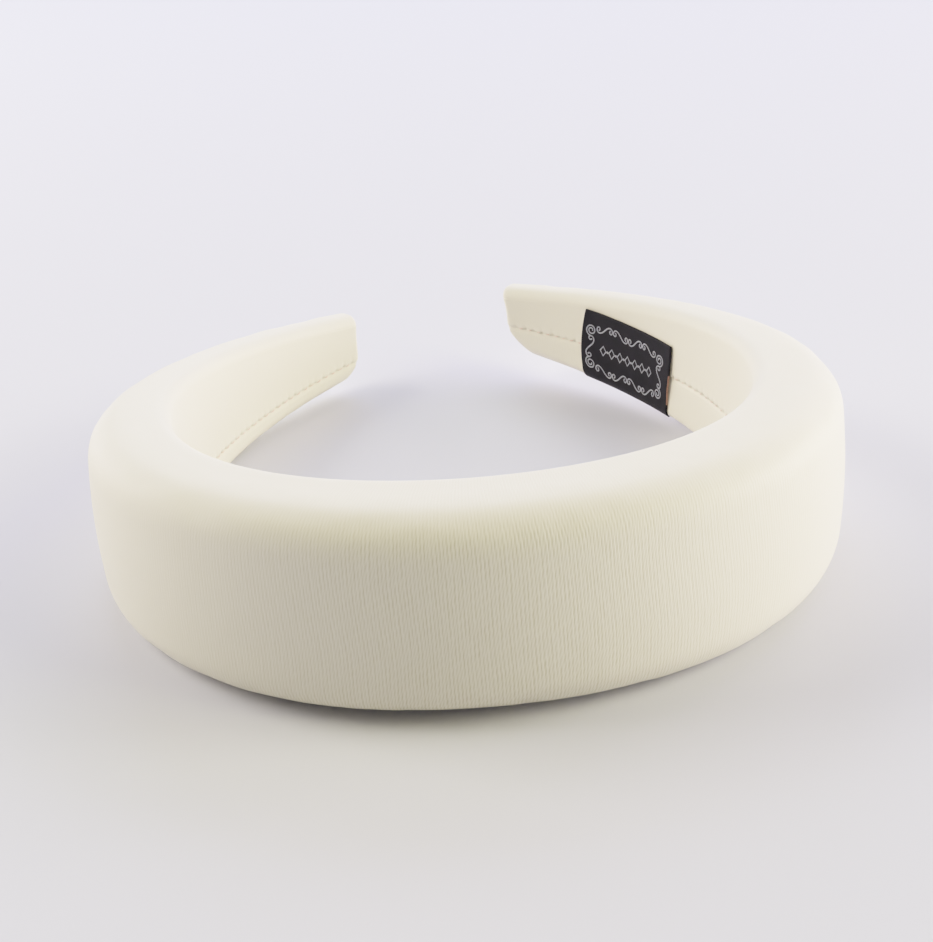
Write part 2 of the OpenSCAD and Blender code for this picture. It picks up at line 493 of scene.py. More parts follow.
def places_of(mesh: bpy.types.Mesh) -> np.ndarray:
    """Reads where a mesh's vertices are.

    Args:
        mesh: Mesh that is read.

    Returns:
        One row of x, y and z for each vertex.
    """
    places = np.empty(len(mesh.vertices) * 3, dtype=np.float32)
    mesh.vertices.foreach_get("co", places)
    return places.reshape(-1, 3).astype(float)


def set_places(mesh: bpy.types.Mesh, places: np.ndarray) -> None:
    """Moves a mesh's vertices to new places."""
    mesh.vertices.foreach_set("co", np.ascontiguousarray(places, dtype=np.float32).ravel())
    mesh.update()


def linear(hex_colour: str) -> tuple[float, float, float, float]:
    """Turns an sRGB hex value into the linear colour that a shader socket takes."""
    channels = [int(hex_colour[i:i + 2], 16) / 255 for i in (1, 3, 5)]
    return (*(c / 12.92 if c <= 0.04045 else ((c + 0.055) / 1.055) ** 2.4 for c in channels), 1.0)


def add_node(tree: bpy.types.NodeTree, kind: str, inputs: dict | None = None,
             **settings: object) -> bpy.types.Node:
    """Adds a node with its settings and links.

    Args:
        tree: Node tree that gets the node.
        kind: Type name of the node.
        inputs: Values or output sockets for its inputs, by name or index.
        settings: Attributes of the node itself.

    Returns:
        The new node.
    """
    node = tree.nodes.new(kind)
    for name, value in settings.items():
        setattr(node, name, value)
    for key, value in (inputs or {}).items():
        socket = node.inputs[key]
        if isinstance(value, bpy.types.NodeSocket):
            tree.links.new(value, socket)
        else:
            socket.default_value = value
    return node


class Shader:
    """A new material's node tree, with its Principled shader and output."""

    def __init__(self, name: str) -> None:
        """Starts an empty material.

        Args:
            name: Name of the real material.
        """
        self.material = bpy.data.materials.new(name)
        self.material.use_nodes = True
        self.tree = self.material.node_tree
        self.tree.nodes.clear()

    def finish(self, inputs: dict) -> bpy.types.Material:
        """Adds the Principled shader and the output.

        Args:
            inputs: Values or output sockets for the shader's inputs, by name.

        Returns:
            The finished material.
        """
        principled = add_node(self.tree, "ShaderNodeBsdfPrincipled", inputs)
        add_node(self.tree, "ShaderNodeOutputMaterial", {"Surface": principled.outputs["BSDF"]})
        return self.material

    def wave(self, across: bpy.types.NodeSocket, pitch: float) -> bpy.types.NodeSocket:
        """Draws threads as a wave.

        Args:
            across: Distance across the threads, in millimetres.
            pitch: Distance from one thread to the next, in millimetres.

        Returns:
            The wave, from -1 to 1.
        """
        turned = add_node(self.tree, "ShaderNodeMath", {
            0: across, 1: 2 * math.pi / pitch,
        }, operation="MULTIPLY").outputs[0]
        return add_node(self.tree, "ShaderNodeMath", {0: turned}, operation="SINE").outputs[0]


class ClothRow(NamedTuple):
    """How far the ribs stand up, and so how much painted shade their grooves get, at a distance in mm across
    the cloth from the inner face's upper edge.
    """

    across: float
    height: float


@dataclass(frozen=True)
class IvorySatin:
    """Polyester satin, woven: a fine warp rib runs across the band, with painted shade in the grooves between
    the ribs, strongest on the crown's outer face, so its shade side looks combed.
    """

    name: str = "ivory_polyester_satin"
    colour: str = "#E8E2CF"
    # painted shade: the darker, warmer tone towards which the grooves between the ribs are mixed
    shade: str = "#C8BF9C"
    roughness: float = 0.58
    sheen: float = 0.12
    sheen_roughness: float = 0.4
    specular: float = 0.35
    rib_pitch: float = 0.53  # warp floats, drawn about twice as coarse as real ones so that they show
    rib_least: float = 0.2
    rib_noise: tuple[float, float] = (0.3, 0.68)
    twill_pitch: float = 0.42
    twill_slant: float = 0.22
    twill_height: float = 0.4
    drift: float = 2.2  # how far the ribs slant away over a hand's breadth, in millimetres
    drift_stretch: tuple[float, float, float] = (0.03, 0.03, 0)
    wander: float = 0.25  # how far a single rib strays, in millimetres
    wander_stretch: tuple[float, float, float] = (0.8, 0.16, 0)
    break_stretch: tuple[float, float, float] = (1.7, 0.2, 0)
    rib_and_shade_rows: tuple[ClothRow, ...] = (
        ClothRow(15, 0.22), ClothRow(24, 1.0), ClothRow(60, 1.0), ClothRow(74, 0.22),
    )
    crown_reach: tuple[float, float] = (5, 62)
    leg_share: float = 0.1
    relief: float = 0.03 * MM
    rib_bump: float = 0.25
    # how far the grooves are mixed towards the painted shade tone, over the weave heights in tinted
    painted_groove_shade: float = 0.8
    tinted: tuple[float, float] = (0.45, -1.2)

    def patches(self, shader: Shader, place: bpy.types.NodeSocket, stretch: tuple[float, float, float],
                detail: float) -> bpy.types.NodeSocket:
        """Draws soft patches on the cloth.

        Args:
            shader: Material that gets the nodes.
            place: Places on the cloth, in millimetres.
            stretch: Patches per millimetre, along and across the band.
            detail: Levels of finer noise.

        Returns:
            The patches, with a mean of about 0.5.
        """
        scaled = add_node(shader.tree, "ShaderNodeVectorMath", {0: place, 1: stretch}, operation="MULTIPLY")
        return add_node(shader.tree, "ShaderNodeTexNoise", {
            "Vector": scaled.outputs[0], "Scale": 1.0, "Detail": detail,
        }, noise_dimensions="2D").outputs["Fac"]

    def ribs_and_groove_shade(self, shader: Shader, split: bpy.types.Node) -> bpy.types.NodeSocket:
        """Draws how far the ribs stand up and how much painted shade their grooves get: most on the crown's
        outer face, the side in shade, least where the cloth is tight.

        Args:
            shader: Material that gets the nodes.
            split: Node that splits the place on the cloth.

        Returns:
            The share of the ribs' full height and of their full painted shade.
        """
        tree = shader.tree
        (tight, least), (full, most), (until, _), (end, _) = self.rib_and_shade_rows
        along = add_node(tree, "ShaderNodeMath", {0: split.outputs["X"]}, operation="ABSOLUTE").outputs[0]
        across = split.outputs["Y"]
        ramps = (across, tight, full, least, most), (across, end, until, least, most), (
            along, *self.crown_reach, 1.0, self.leg_share)
        rise, fall, crown = [add_node(tree, "ShaderNodeMapRange", {
            "Value": value, "From Min": start, "From Max": stop, "To Min": low, "To Max": high,
        }, interpolation_type="SMOOTHSTEP").outputs["Result"] for value, start, stop, low, high in ramps]
        either = add_node(tree, "ShaderNodeMath", {0: rise, 1: fall}, operation="MINIMUM").outputs[0]
        return add_node(tree, "ShaderNodeMath", {0: either, 1: crown}, operation="MULTIPLY").outputs[0]

    def build(self) -> bpy.types.Material:
        """Builds the satin, with its ribs laid out on the cloth in real millimetres.

        Returns:
            The material.
        """
        shader = Shader(self.name)
        tree = shader.tree
        uv = add_node(tree, "ShaderNodeUVMap", uv_map=UV_NAME).outputs["UV"]
        split = add_node(tree, "ShaderNodeSeparateXYZ", {0: uv})
        drift, wander = (self.drift_stretch, 1.0, self.drift), (self.wander_stretch, 2.0, self.wander)
        shifted = split.outputs["X"]
        for stretch, detail, reach in (drift, wander):
            shifted = add_node(tree, "ShaderNodeMath", {
                0: self.patches(shader, uv, stretch, detail), 1: reach, 2: shifted,
            }, operation="MULTIPLY_ADD").outputs[0]
        slanted = add_node(tree, "ShaderNodeMath", {
            0: split.outputs["Y"], 1: self.twill_slant, 2: shifted,
        }, operation="MULTIPLY_ADD").outputs[0]
        strength = add_node(tree, "ShaderNodeMapRange", {
            "Value": self.patches(shader, uv, self.break_stretch, 1.0), "From Min": self.rib_noise[0],
            "From Max": self.rib_noise[1], "To Min": self.rib_least, "To Max": 1.0,
        }).outputs["Result"]
        ribs = add_node(tree, "ShaderNodeMath", {
            0: shader.wave(shifted, self.rib_pitch), 1: strength,
        }, operation="MULTIPLY").outputs[0]
        mixed = add_node(tree, "ShaderNodeMath", {
            0: shader.wave(slanted, self.twill_pitch), 1: self.twill_height, 2: ribs,
        }, operation="MULTIPLY_ADD").outputs[0]
        weave = add_node(tree, "ShaderNodeMath", {
            0: mixed, 1: self.ribs_and_groove_shade(shader, split),
        }, operation="MULTIPLY").outputs[0]
        # Painted shade: the grooves between the ribs are mixed towards the darker shade tone, as if
        # self-shadowed.
        tint = add_node(tree, "ShaderNodeMapRange", {
            "Value": weave, "From Min": self.tinted[0], "From Max": self.tinted[1],
            "To Min": 0.0, "To Max": self.painted_groove_shade,
        }).outputs["Result"]
        colour = add_node(tree, "ShaderNodeMix", {
            0: tint, 6: linear(self.colour), 7: linear(self.shade),
        }, data_type="RGBA").outputs[2]
        bump = add_node(tree, "ShaderNodeBump", {
            "Height": weave, "Strength": self.rib_bump, "Distance": self.relief,
        }).outputs["Normal"]
        return shader.finish({
            "Base Color": colour, "Roughness": self.roughness, "Normal": bump, "Sheen Weight": self.sheen,
            "Sheen Roughness": self.sheen_roughness, "Specular IOR Level": self.specular,
        })


@dataclass(frozen=True)
class LabelSatin:
    """Damask label tape, woven in fine polyester: nearly black, with a faint rib along the label."""

    name: str = "black_damask_tape"
    colour: str = "#121116"
    light: str = "#1C1A21"
    roughness: float = 0.6
    sheen: float = 0.02
    specular: float = 0.1
    rib_pitch: float = 0.3  # picks of the tape, drawn about three times as coarse as real ones to show
    warp_pitch: float = 0.21
    warp_height: float = 0.5
    cloud_scale: float = 0.35
    weave_tint: float = 0.16
    tinted: tuple[float, float] = (0.3, 0.95)
    relief: float = 0.02 * MM
    bump: float = 0.6

    def build(self) -> bpy.types.Material:
        """Builds the tape, with its picks and warp laid out on the label in real millimetres.

        Returns:
            The material.
        """
        shader = Shader(self.name)
        tree = shader.tree
        uv = add_node(tree, "ShaderNodeUVMap", uv_map=UV_NAME)
        split = add_node(tree, "ShaderNodeSeparateXYZ", {0: uv.outputs["UV"]})
        pick = shader.wave(split.outputs["Y"], self.rib_pitch)
        warp = shader.wave(split.outputs["X"], self.warp_pitch)
        weave = add_node(tree, "ShaderNodeMath", {
            0: warp, 1: self.warp_height, 2: pick,
        }, operation="MULTIPLY_ADD").outputs[0]
        cloud = add_node(tree, "ShaderNodeTexNoise", {
            "Vector": uv.outputs["UV"], "Scale": self.cloud_scale, "Detail": 3.0,
        }, noise_dimensions="2D").outputs["Fac"]
        lit = add_node(tree, "ShaderNodeMath", {
            0: weave, 1: self.weave_tint, 2: cloud,
        }, operation="MULTIPLY_ADD").outputs[0]
        tint = add_node(tree, "ShaderNodeMapRange", {
            "Value": lit, "From Min": self.tinted[0], "From Max": self.tinted[1],
        }).outputs["Result"]
        colour = add_node(tree, "ShaderNodeMix", {
            0: tint, 6: linear(self.colour), 7: linear(self.light),
        }, data_type="RGBA").outputs[2]
        bump = add_node(tree, "ShaderNodeBump", {
            "Height": weave, "Strength": self.bump, "Distance": self.relief,
        }).outputs["Normal"]
        return shader.finish({
            "Base Color": colour, "Roughness": self.roughness, "Normal": bump, "Sheen Weight": self.sheen,
            "Specular IOR Level": self.specular,
        })


@dataclass(frozen=True)
class Yarn:
    """Spun yarn in two tones of one colour, with a fibre sheen. Each kind says where its light tone lies."""

    name: str
    colour: str
    shade: str
    roughness: float = 0.8
    sheen: float = 0.2

    def light(self, tree: bpy.types.NodeTree) -> bpy.types.NodeSocket:
        """Draws the share of the light tone."""
        raise NotImplementedError

    def build(self) -> bpy.types.Material:
        """Builds the yarn from its two tones.

        Returns:
            The material.
        """
        shader = Shader(self.name)
        colour = add_node(shader.tree, "ShaderNodeMix", {
            0: self.light(shader.tree), 6: linear(self.shade), 7: linear(self.colour),
        }, data_type="RGBA").outputs[2]
        return shader.finish({"Base Color": colour, "Roughness": self.roughness, "Sheen Weight": self.sheen})


@dataclass(frozen=True)
class SewingThread(Yarn):
    """Twisted polyester sewing thread: a pale peach, with the twist drawn as slanting bands."""

    name: str = "peach_sewing_thread"
    colour: str = "#E9CCB8"
    shade: str = "#D5B09B"
    roughness: float = 0.6
    twist_pitch: float = 0.3 * MM
    wave_length: float = 0.314  # from band to band of the wave texture at a scale of 1

    def light(self, tree: bpy.types.NodeTree) -> bpy.types.NodeSocket:
        """Draws the twist.

        Args:
            tree: Node tree that gets the nodes.

        Returns:
            The share of the light tone.
        """
        return add_node(tree, "ShaderNodeTexWave", {
            "Vector": add_node(tree, "ShaderNodeTexCoord").outputs["Object"],
            "Scale": self.wave_length / self.twist_pitch, "Distortion": 1.0,
        }, wave_type="BANDS", bands_direction="DIAGONAL").outputs["Fac"]


@dataclass(frozen=True)
class EdgeYarn(Yarn):
    """Bare edge of a woven tape: loose yarn ends of one colour, with a fine fray."""

    fray_scale: float = 2.2

    def light(self, tree: bpy.types.NodeTree) -> bpy.types.NodeSocket:
        """Draws the fray.

        Args:
            tree: Node tree that gets the nodes.

        Returns:
            The share of the light tone.
        """
        return add_node(tree, "ShaderNodeTexNoise", {
            "Vector": add_node(tree, "ShaderNodeUVMap", uv_map=UV_NAME).outputs["UV"],
            "Scale": self.fray_scale, "Detail": 3.0,
        }, noise_dimensions="2D").outputs["Fac"]


@dataclass(frozen=True)
class SilverThread(Yarn):
    """Rayon figure thread of the label: a soft silver grey that catches the light where it stands up."""

    name: str = "silver_grey_rayon_thread"
    colour: str = "#A6A8B0"
    shade: str = "#7C7D83"
    roughness: float = 0.4
    sheen: float = 0.1
    fibre_scale: float = 2500.0

    def light(self, tree: bpy.types.NodeTree) -> bpy.types.NodeSocket:
        """Draws the loose fibres.

        Args:
            tree: Node tree that gets the nodes.

        Returns:
            The share of the light tone.
        """
        return add_node(tree, "ShaderNodeTexNoise", {
            "Vector": add_node(tree, "ShaderNodeTexCoord").outputs["Object"],
            "Scale": self.fibre_scale, "Detail": 2.0,
        }).outputs["Fac"]


@dataclass(frozen=True)
class StudioPaper:
    """Seamless background paper: matt, very pale, slightly lavender, with a painted glow far from the set,
    where the paper shines though no lamp lights it.
    """

    name: str = "lavender_grey_paper"
    colour: str = "#D0D0D8"
    roughness: float = 0.9
    specular: float = 0.2
    fibre_scale: float = 900.0
    fibre_bump: float = 0.1
    relief: float = 0.02 * MM
    glow_colour: str = "#F4F4FF"
    far_glow: float = 1.2
    far_from: float = 0.85
    far_to: float = 1.4

    def build(self) -> bpy.types.Material:
        """Builds the paper, with its fine fibres and its painted glow far from the set.

        Returns:
            The material.
        """
        shader = Shader(self.name)
        place = add_node(shader.tree, "ShaderNodeTexCoord").outputs["Object"]
        fibre = add_node(shader.tree, "ShaderNodeTexNoise", {
            "Vector": place, "Scale": self.fibre_scale,
        }).outputs["Fac"]
        bump = add_node(shader.tree, "ShaderNodeBump", {
            "Height": fibre, "Strength": self.fibre_bump, "Distance": self.relief,
        }).outputs["Normal"]
        reach = add_node(shader.tree, "ShaderNodeVectorMath", {0: place}, operation="LENGTH").outputs["Value"]
        # Painted glow: the paper emits light of its own beyond far_from, rising to far_glow.
        far = add_node(shader.tree, "ShaderNodeMapRange", {
            "Value": reach, "From Min": self.far_from, "From Max": self.far_to,
            "To Min": 0.0, "To Max": self.far_glow,
        }, interpolation_type="SMOOTHSTEP").outputs["Result"]
        return shader.finish({
            "Base Color": linear(self.colour), "Roughness": self.roughness, "Normal": bump,
            "Specular IOR Level": self.specular, "Emission Color": linear(self.glow_colour),
            "Emission Strength": far,
        })


@dataclass(frozen=True)
class PaddedBand:
    """The padded main form: covered foam that a cloth simulation blows up between its pinned inner edges."""

    hoop: Hoop
    face: InnerFace
    material: bpy.types.Material
    name: str = "padded_band_cover"
    face_slack: float = 0.12 * MM
    corner_ease: float = 0.16 * MM
    swell_limit: float = 0.25 * MM
    floor_gap: float = 0.1 * MM
    skin_rows: tuple[float, ...] = (0.0, 0.4, 0.9, 1.6, 2.5, 3.8)
    skin_closed_at: float = 0.6
    floor_steps: int = 5
    body_columns: int = 104
    tip_columns: int = 16
    tip_stretch: float = 9 * MM
    roll_steps: int = 6
    cap_steps: int = 5
    cap_draw: float = 0.93
    cap_dimple: float = 0.5 * MM
    pressure: float = 4.0
    point_mass: float = 0.0005
    stiffness: float = 2.0
    bending: float = 0.02
    growth: float = 0.006
    frames: int = 20
    search_steps: int = 1200
    held_from_tip: float = 12 * MM
    free_depths: tuple[float, float] = (0.25, 0.35)
    kept_depths: tuple[float, float] = (0.2, 0.5)
    corner_heights: tuple[float, float] = (0.55, 0.35)

    @cached_property
    def section(self) -> Section:
        """The outline across the band."""
        return Section(self.hoop)

    def rings(self) -> tuple[np.ndarray, np.ndarray, np.ndarray]:
        """Places the rings from tip to tip.

        Returns:
            Their shares, their insets in the rolled ends, and how far each is drawn together in a tip's cap.
        """
        hoop = self.hoop
        stretch = 1 - self.tip_stretch / hoop.half_girth
        roll = 1 - hoop.end_roll / hoop.half_girth
        body = np.linspace(0, stretch, self.body_columns)[:-1]
        tip = np.linspace(stretch, roll, self.tip_columns)[:-1]
        angle = np.linspace(0, 90, self.roll_steps + 1) * DEGREE
        rolled = roll + (1 - roll) * np.sin(angle)
        cap = np.ones(self.cap_steps)
        half = np.concatenate([body, tip, rolled, cap])
        inset = np.concatenate([body * 0, tip * 0, hoop.end_roll * (1 - np.cos(angle)), cap * hoop.end_roll])
        drawing = np.linspace(0, self.cap_draw, self.cap_steps + 1)[1:]
        drawn = np.concatenate([body * 0, tip * 0, rolled * 0, drawing])
        rows = (-1, half), (1, inset), (1, drawn)
        return tuple(np.concatenate([sign * part[:0:-1], part]) for sign, part in rows)

    def inner_rows(self, root: Root, share: np.ndarray, inset: np.ndarray) -> np.ndarray:
        """Draws the band's skin as it dips under a lap.

        Args:
            root: Edge of the inner face that the lap comes from.
            share: Signed shares along the hoop.
            inset: Distance by which the skin shrinks at each share.

        Returns:
            Rows of out and up, from the lap's root towards the middle.
        """
        t = (root.start + np.array(self.skin_rows) * MM)[None, :]
        closing = smoothstep(inset / (self.skin_closed_at * self.hoop.end_roll))[:, None]
        sink = self.face.dip(root, t) * (1 - closing) + inset[:, None]
        out, up = self.face.profile(share[:, None], root, np.broadcast_to(t, (len(share), t.shape[1])), sink)
        return np.stack([out, up], axis=-1)

    def ring_outlines(self) -> tuple[np.ndarray, np.ndarray]:
        """Builds each ring's closed outline.

        Returns:
            The rings' shares, and rows of out and up.
        """
        share, inset, drawn = self.rings()
        # The dipping skin takes the place of the outline's first point and its last two.
        outside = self.section.outline(share, inset)[:, 1:-2]
        upper, lower = (self.inner_rows(root, share, inset) for root in Root)
        floor_from, floor_to = lower[:, -1:], upper[:, -1:]
        way = np.linspace(0, 1, self.floor_steps + 1)[None, 1:-1, None]
        floor = floor_from + (floor_to - floor_from) * way
        ring = np.concatenate([upper[:, ::-1], outside, lower, floor], axis=1)
        band = self.hoop.band(share)
        middle = band.depth[:, None] / 2
        reach = np.minimum(middle, (band.high - band.low)[:, None] / 2)
        target_up = np.clip(ring[..., 1], band.low[:, None] + reach, band.high[:, None] - reach)
        target = np.stack([np.broadcast_to(middle, target_up.shape), target_up], axis=-1)
        return share, ring + (target - ring) * drawn[:, None, None]

    def mesh(self) -> bpy.types.Mesh:
        """Makes the skin.

        Returns:
            A closed mesh, with its place on the cloth as UV.
        """
        share, ring = self.ring_outlines()
        drawn = self.rings()[2]
        dimple = self.cap_dimple * drawn**2 / self.hoop.half_girth
        dished = share - np.sign(share) * dimple
        places = self.hoop.at_rest(dished[:, None], ring[..., 0], ring[..., 1])
        closed = np.concatenate([ring, ring[:, :1]], axis=1)
        along = np.linalg.norm(np.diff(closed, axis=1), axis=-1)
        v = np.concatenate([np.zeros((len(share), 1)), np.cumsum(along, axis=1)], axis=1)
        edge = len(self.skin_rows) - 1
        v = v - v[:, edge:edge + 1] + Root.UPPER.start
        u = np.broadcast_to(share[:, None] * self.hoop.half_girth, v.shape)
        return grid_mesh(self.name, places, np.stack([u, v], axis=-1) / MM, closed=True)

    def stations(self, places: np.ndarray) -> tuple[np.ndarray, np.ndarray, np.ndarray]:
        """Finds where points at rest lie on the hoop.

        Args:
            places: Places of the points at rest.

        Returns:
            Their unsigned shares, their distances out and their heights up.
        """
        local = (places - self.hoop.shift) @ self.hoop.tip
        at, turn, x, y = self.hoop.line
        shares = np.linspace(0, 1, self.search_steps + 1)
        angle = np.interp(shares, at, turn)
        line = np.stack([np.interp(shares, at, x), np.interp(shares, at, y)], axis=-1)
        along = np.stack([np.cos(angle), np.sin(angle)], axis=-1)
        normal = np.stack([np.sin(angle), -np.cos(angle)], axis=-1)
        flat = np.stack([np.abs(local[:, 0]), local[:, 1]], axis=-1)
        gap = np.abs(flat @ along.T - (line * along).sum(axis=1))
        # A point belongs to the stretch of the hoop near it, so farther ones get a gap of a metre.
        gap[np.linalg.norm(flat[:, None] - line[None], axis=-1) > 2 * self.hoop.crown_depth] = 1
        nearest = gap.argmin(axis=1)
        out = ((flat - line[nearest]) * normal[nearest]).sum(axis=1)
        return shares[nearest], out, local[:, 2]

    def freedom(self, places: np.ndarray) -> tuple[np.ndarray, np.ndarray, np.ndarray]:
        """Works out how free each point is to swell.

        Args:
            places: Places of the points at rest.

        Returns:
            How free a point is, 0 at the inner edges and tips; how much of its movement is kept; and how near
            a point lies to the padding's upper or lower corners.
        """
        share, out, up = self.stations(places)
        band = self.hoop.band(share)
        from_tip = smoothstep((1 - share) * self.hoop.half_girth / self.held_from_tip)
        free = ramp(out / band.depth, *self.free_depths) * from_tip
        kept = ramp(out / band.depth, *self.kept_depths) * from_tip
        return free, kept, ramp(np.abs(up) / band.high, *self.corner_heights)

    def simulate(self, piece: bpy.types.Object, free: np.ndarray, kept: np.ndarray) -> None:
        """Blows the cover up with Cloth and keeps a capped part of the movement.

        Args:
            piece: The band, whose mesh is moved.
            free: How free each point is to swell.
            kept: How much of each point's movement is kept.
        """
        start = places_of(piece.data)
        group = piece.vertex_groups.new(name="held")
        for index, weight in enumerate((1 - free).tolist()):
            group.add([index], weight, "REPLACE")
        cloth = piece.modifiers.new("padding", "CLOTH")
        settings = {
            "vertex_group_mass": group.name, "mass": self.point_mass, "quality": 4, "air_damping": 4,
            "use_pressure": True, "uniform_pressure_force": self.pressure,
            "tension_stiffness": self.stiffness, "compression_stiffness": self.stiffness,
            "shear_stiffness": self.stiffness / 2, "bending_stiffness": self.bending,
            "shrink_min": -self.growth,
        }
        for name, value in settings.items():
            setattr(cloth.settings, name, value)
        cloth.settings.effector_weights.gravity = 0
        cloth.collision_settings.use_collision = False
        scene = bpy.context.scene
        for number in range(1, self.frames + 1):
            scene.frame_set(number)
        evaluated = piece.evaluated_get(bpy.context.evaluated_depsgraph_get())
        moved = places_of(evaluated.data) - start
        piece.modifiers.remove(cloth)
        piece.vertex_groups.remove(group)
        scene.frame_set(1)
        far = np.linalg.norm(moved, axis=1, keepdims=True)
        LOG.info("cover swells by %.2f mm at most and %.2f mm on average before its cap",
                 far.max() / MM, far.mean() / MM)
        capped = self.swell_limit * np.tanh(far / self.swell_limit) / np.maximum(far, 1e-9)
        set_places(piece.data, start + moved * capped * kept[:, None])

    def build(self) -> bpy.types.Object:
        """Builds the band, swells it and dresses it.

        Returns:
            The padded piece, as it lies on the floor.
        """
        piece = new_piece(self.name, self.mesh(), self.material)
        places = places_of(piece.data)
        free, kept, corner = self.freedom(places)
        normals = np.array([vertex.normal[:] for vertex in piece.data.vertices])
        ease = (self.corner_ease * corner - self.face_slack * (1 - corner)) * kept
        set_places(piece.data, places + normals * ease[:, None])
        self.simulate(piece, free, kept)
        places = places_of(piece.data)
        places[:, 2] = np.maximum(places[:, 2], self.floor_gap)
        set_places(piece.data, places)
        rounding = piece.modifiers.new("rounding", "SUBSURF")
        rounding.levels = rounding.render_levels = 1
        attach(piece, BODY)
        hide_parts("padded_band")
        return piece


@dataclass(frozen=True)
class SeamSewing:
    """The row of hand stitches: where each one sits along the seam, and how it pulls at the cloth."""

    hoop: Hoop
    pitch: float = 2.6 * MM
    jitter: float = 0.3 * MM
    from_tip: float = 3.2 * MM
    pinch_width: float = 0.42 * MM
    pull_range: tuple[float, float] = (0.55, 1.25)
    seed: int = 11

    @cached_property
    def places(self) -> np.ndarray:
        """Spaces the stitches by hand, and so not quite evenly.

        Returns:
            Distance of each stitch along the inner line, from the crown.
        """
        reach = self.hoop.half_girth - self.from_tip
        count = int(round(2 * reach / self.pitch))
        even = np.linspace(-reach, reach, count)
        return even + np.random.default_rng(self.seed).uniform(-self.jitter, self.jitter, count)

    @cached_property
    def pulls(self) -> np.ndarray:
        """How hard each stitch pulls at the cloth, where 1 is a full pull."""
        return np.random.default_rng(self.seed + 1).uniform(*self.pull_range, len(self.places))

    def pinch(self, along: np.ndarray) -> np.ndarray:
        """How far the cloth is pulled in, from 0 between stitches to about 1 at one."""
        gap = along[:, None] - self.places[None, :]
        return (bell(gap, self.pinch_width) * self.pulls[None, :]).sum(axis=1)


class LapFront(NamedTuple):
    """A lap's visible side: one row for each of its columns, with distances from the inner face's edge."""

    share: np.ndarray
    edge: np.ndarray
    seam: np.ndarray
    pinch: np.ndarray
    width: np.ndarray
    t: np.ndarray


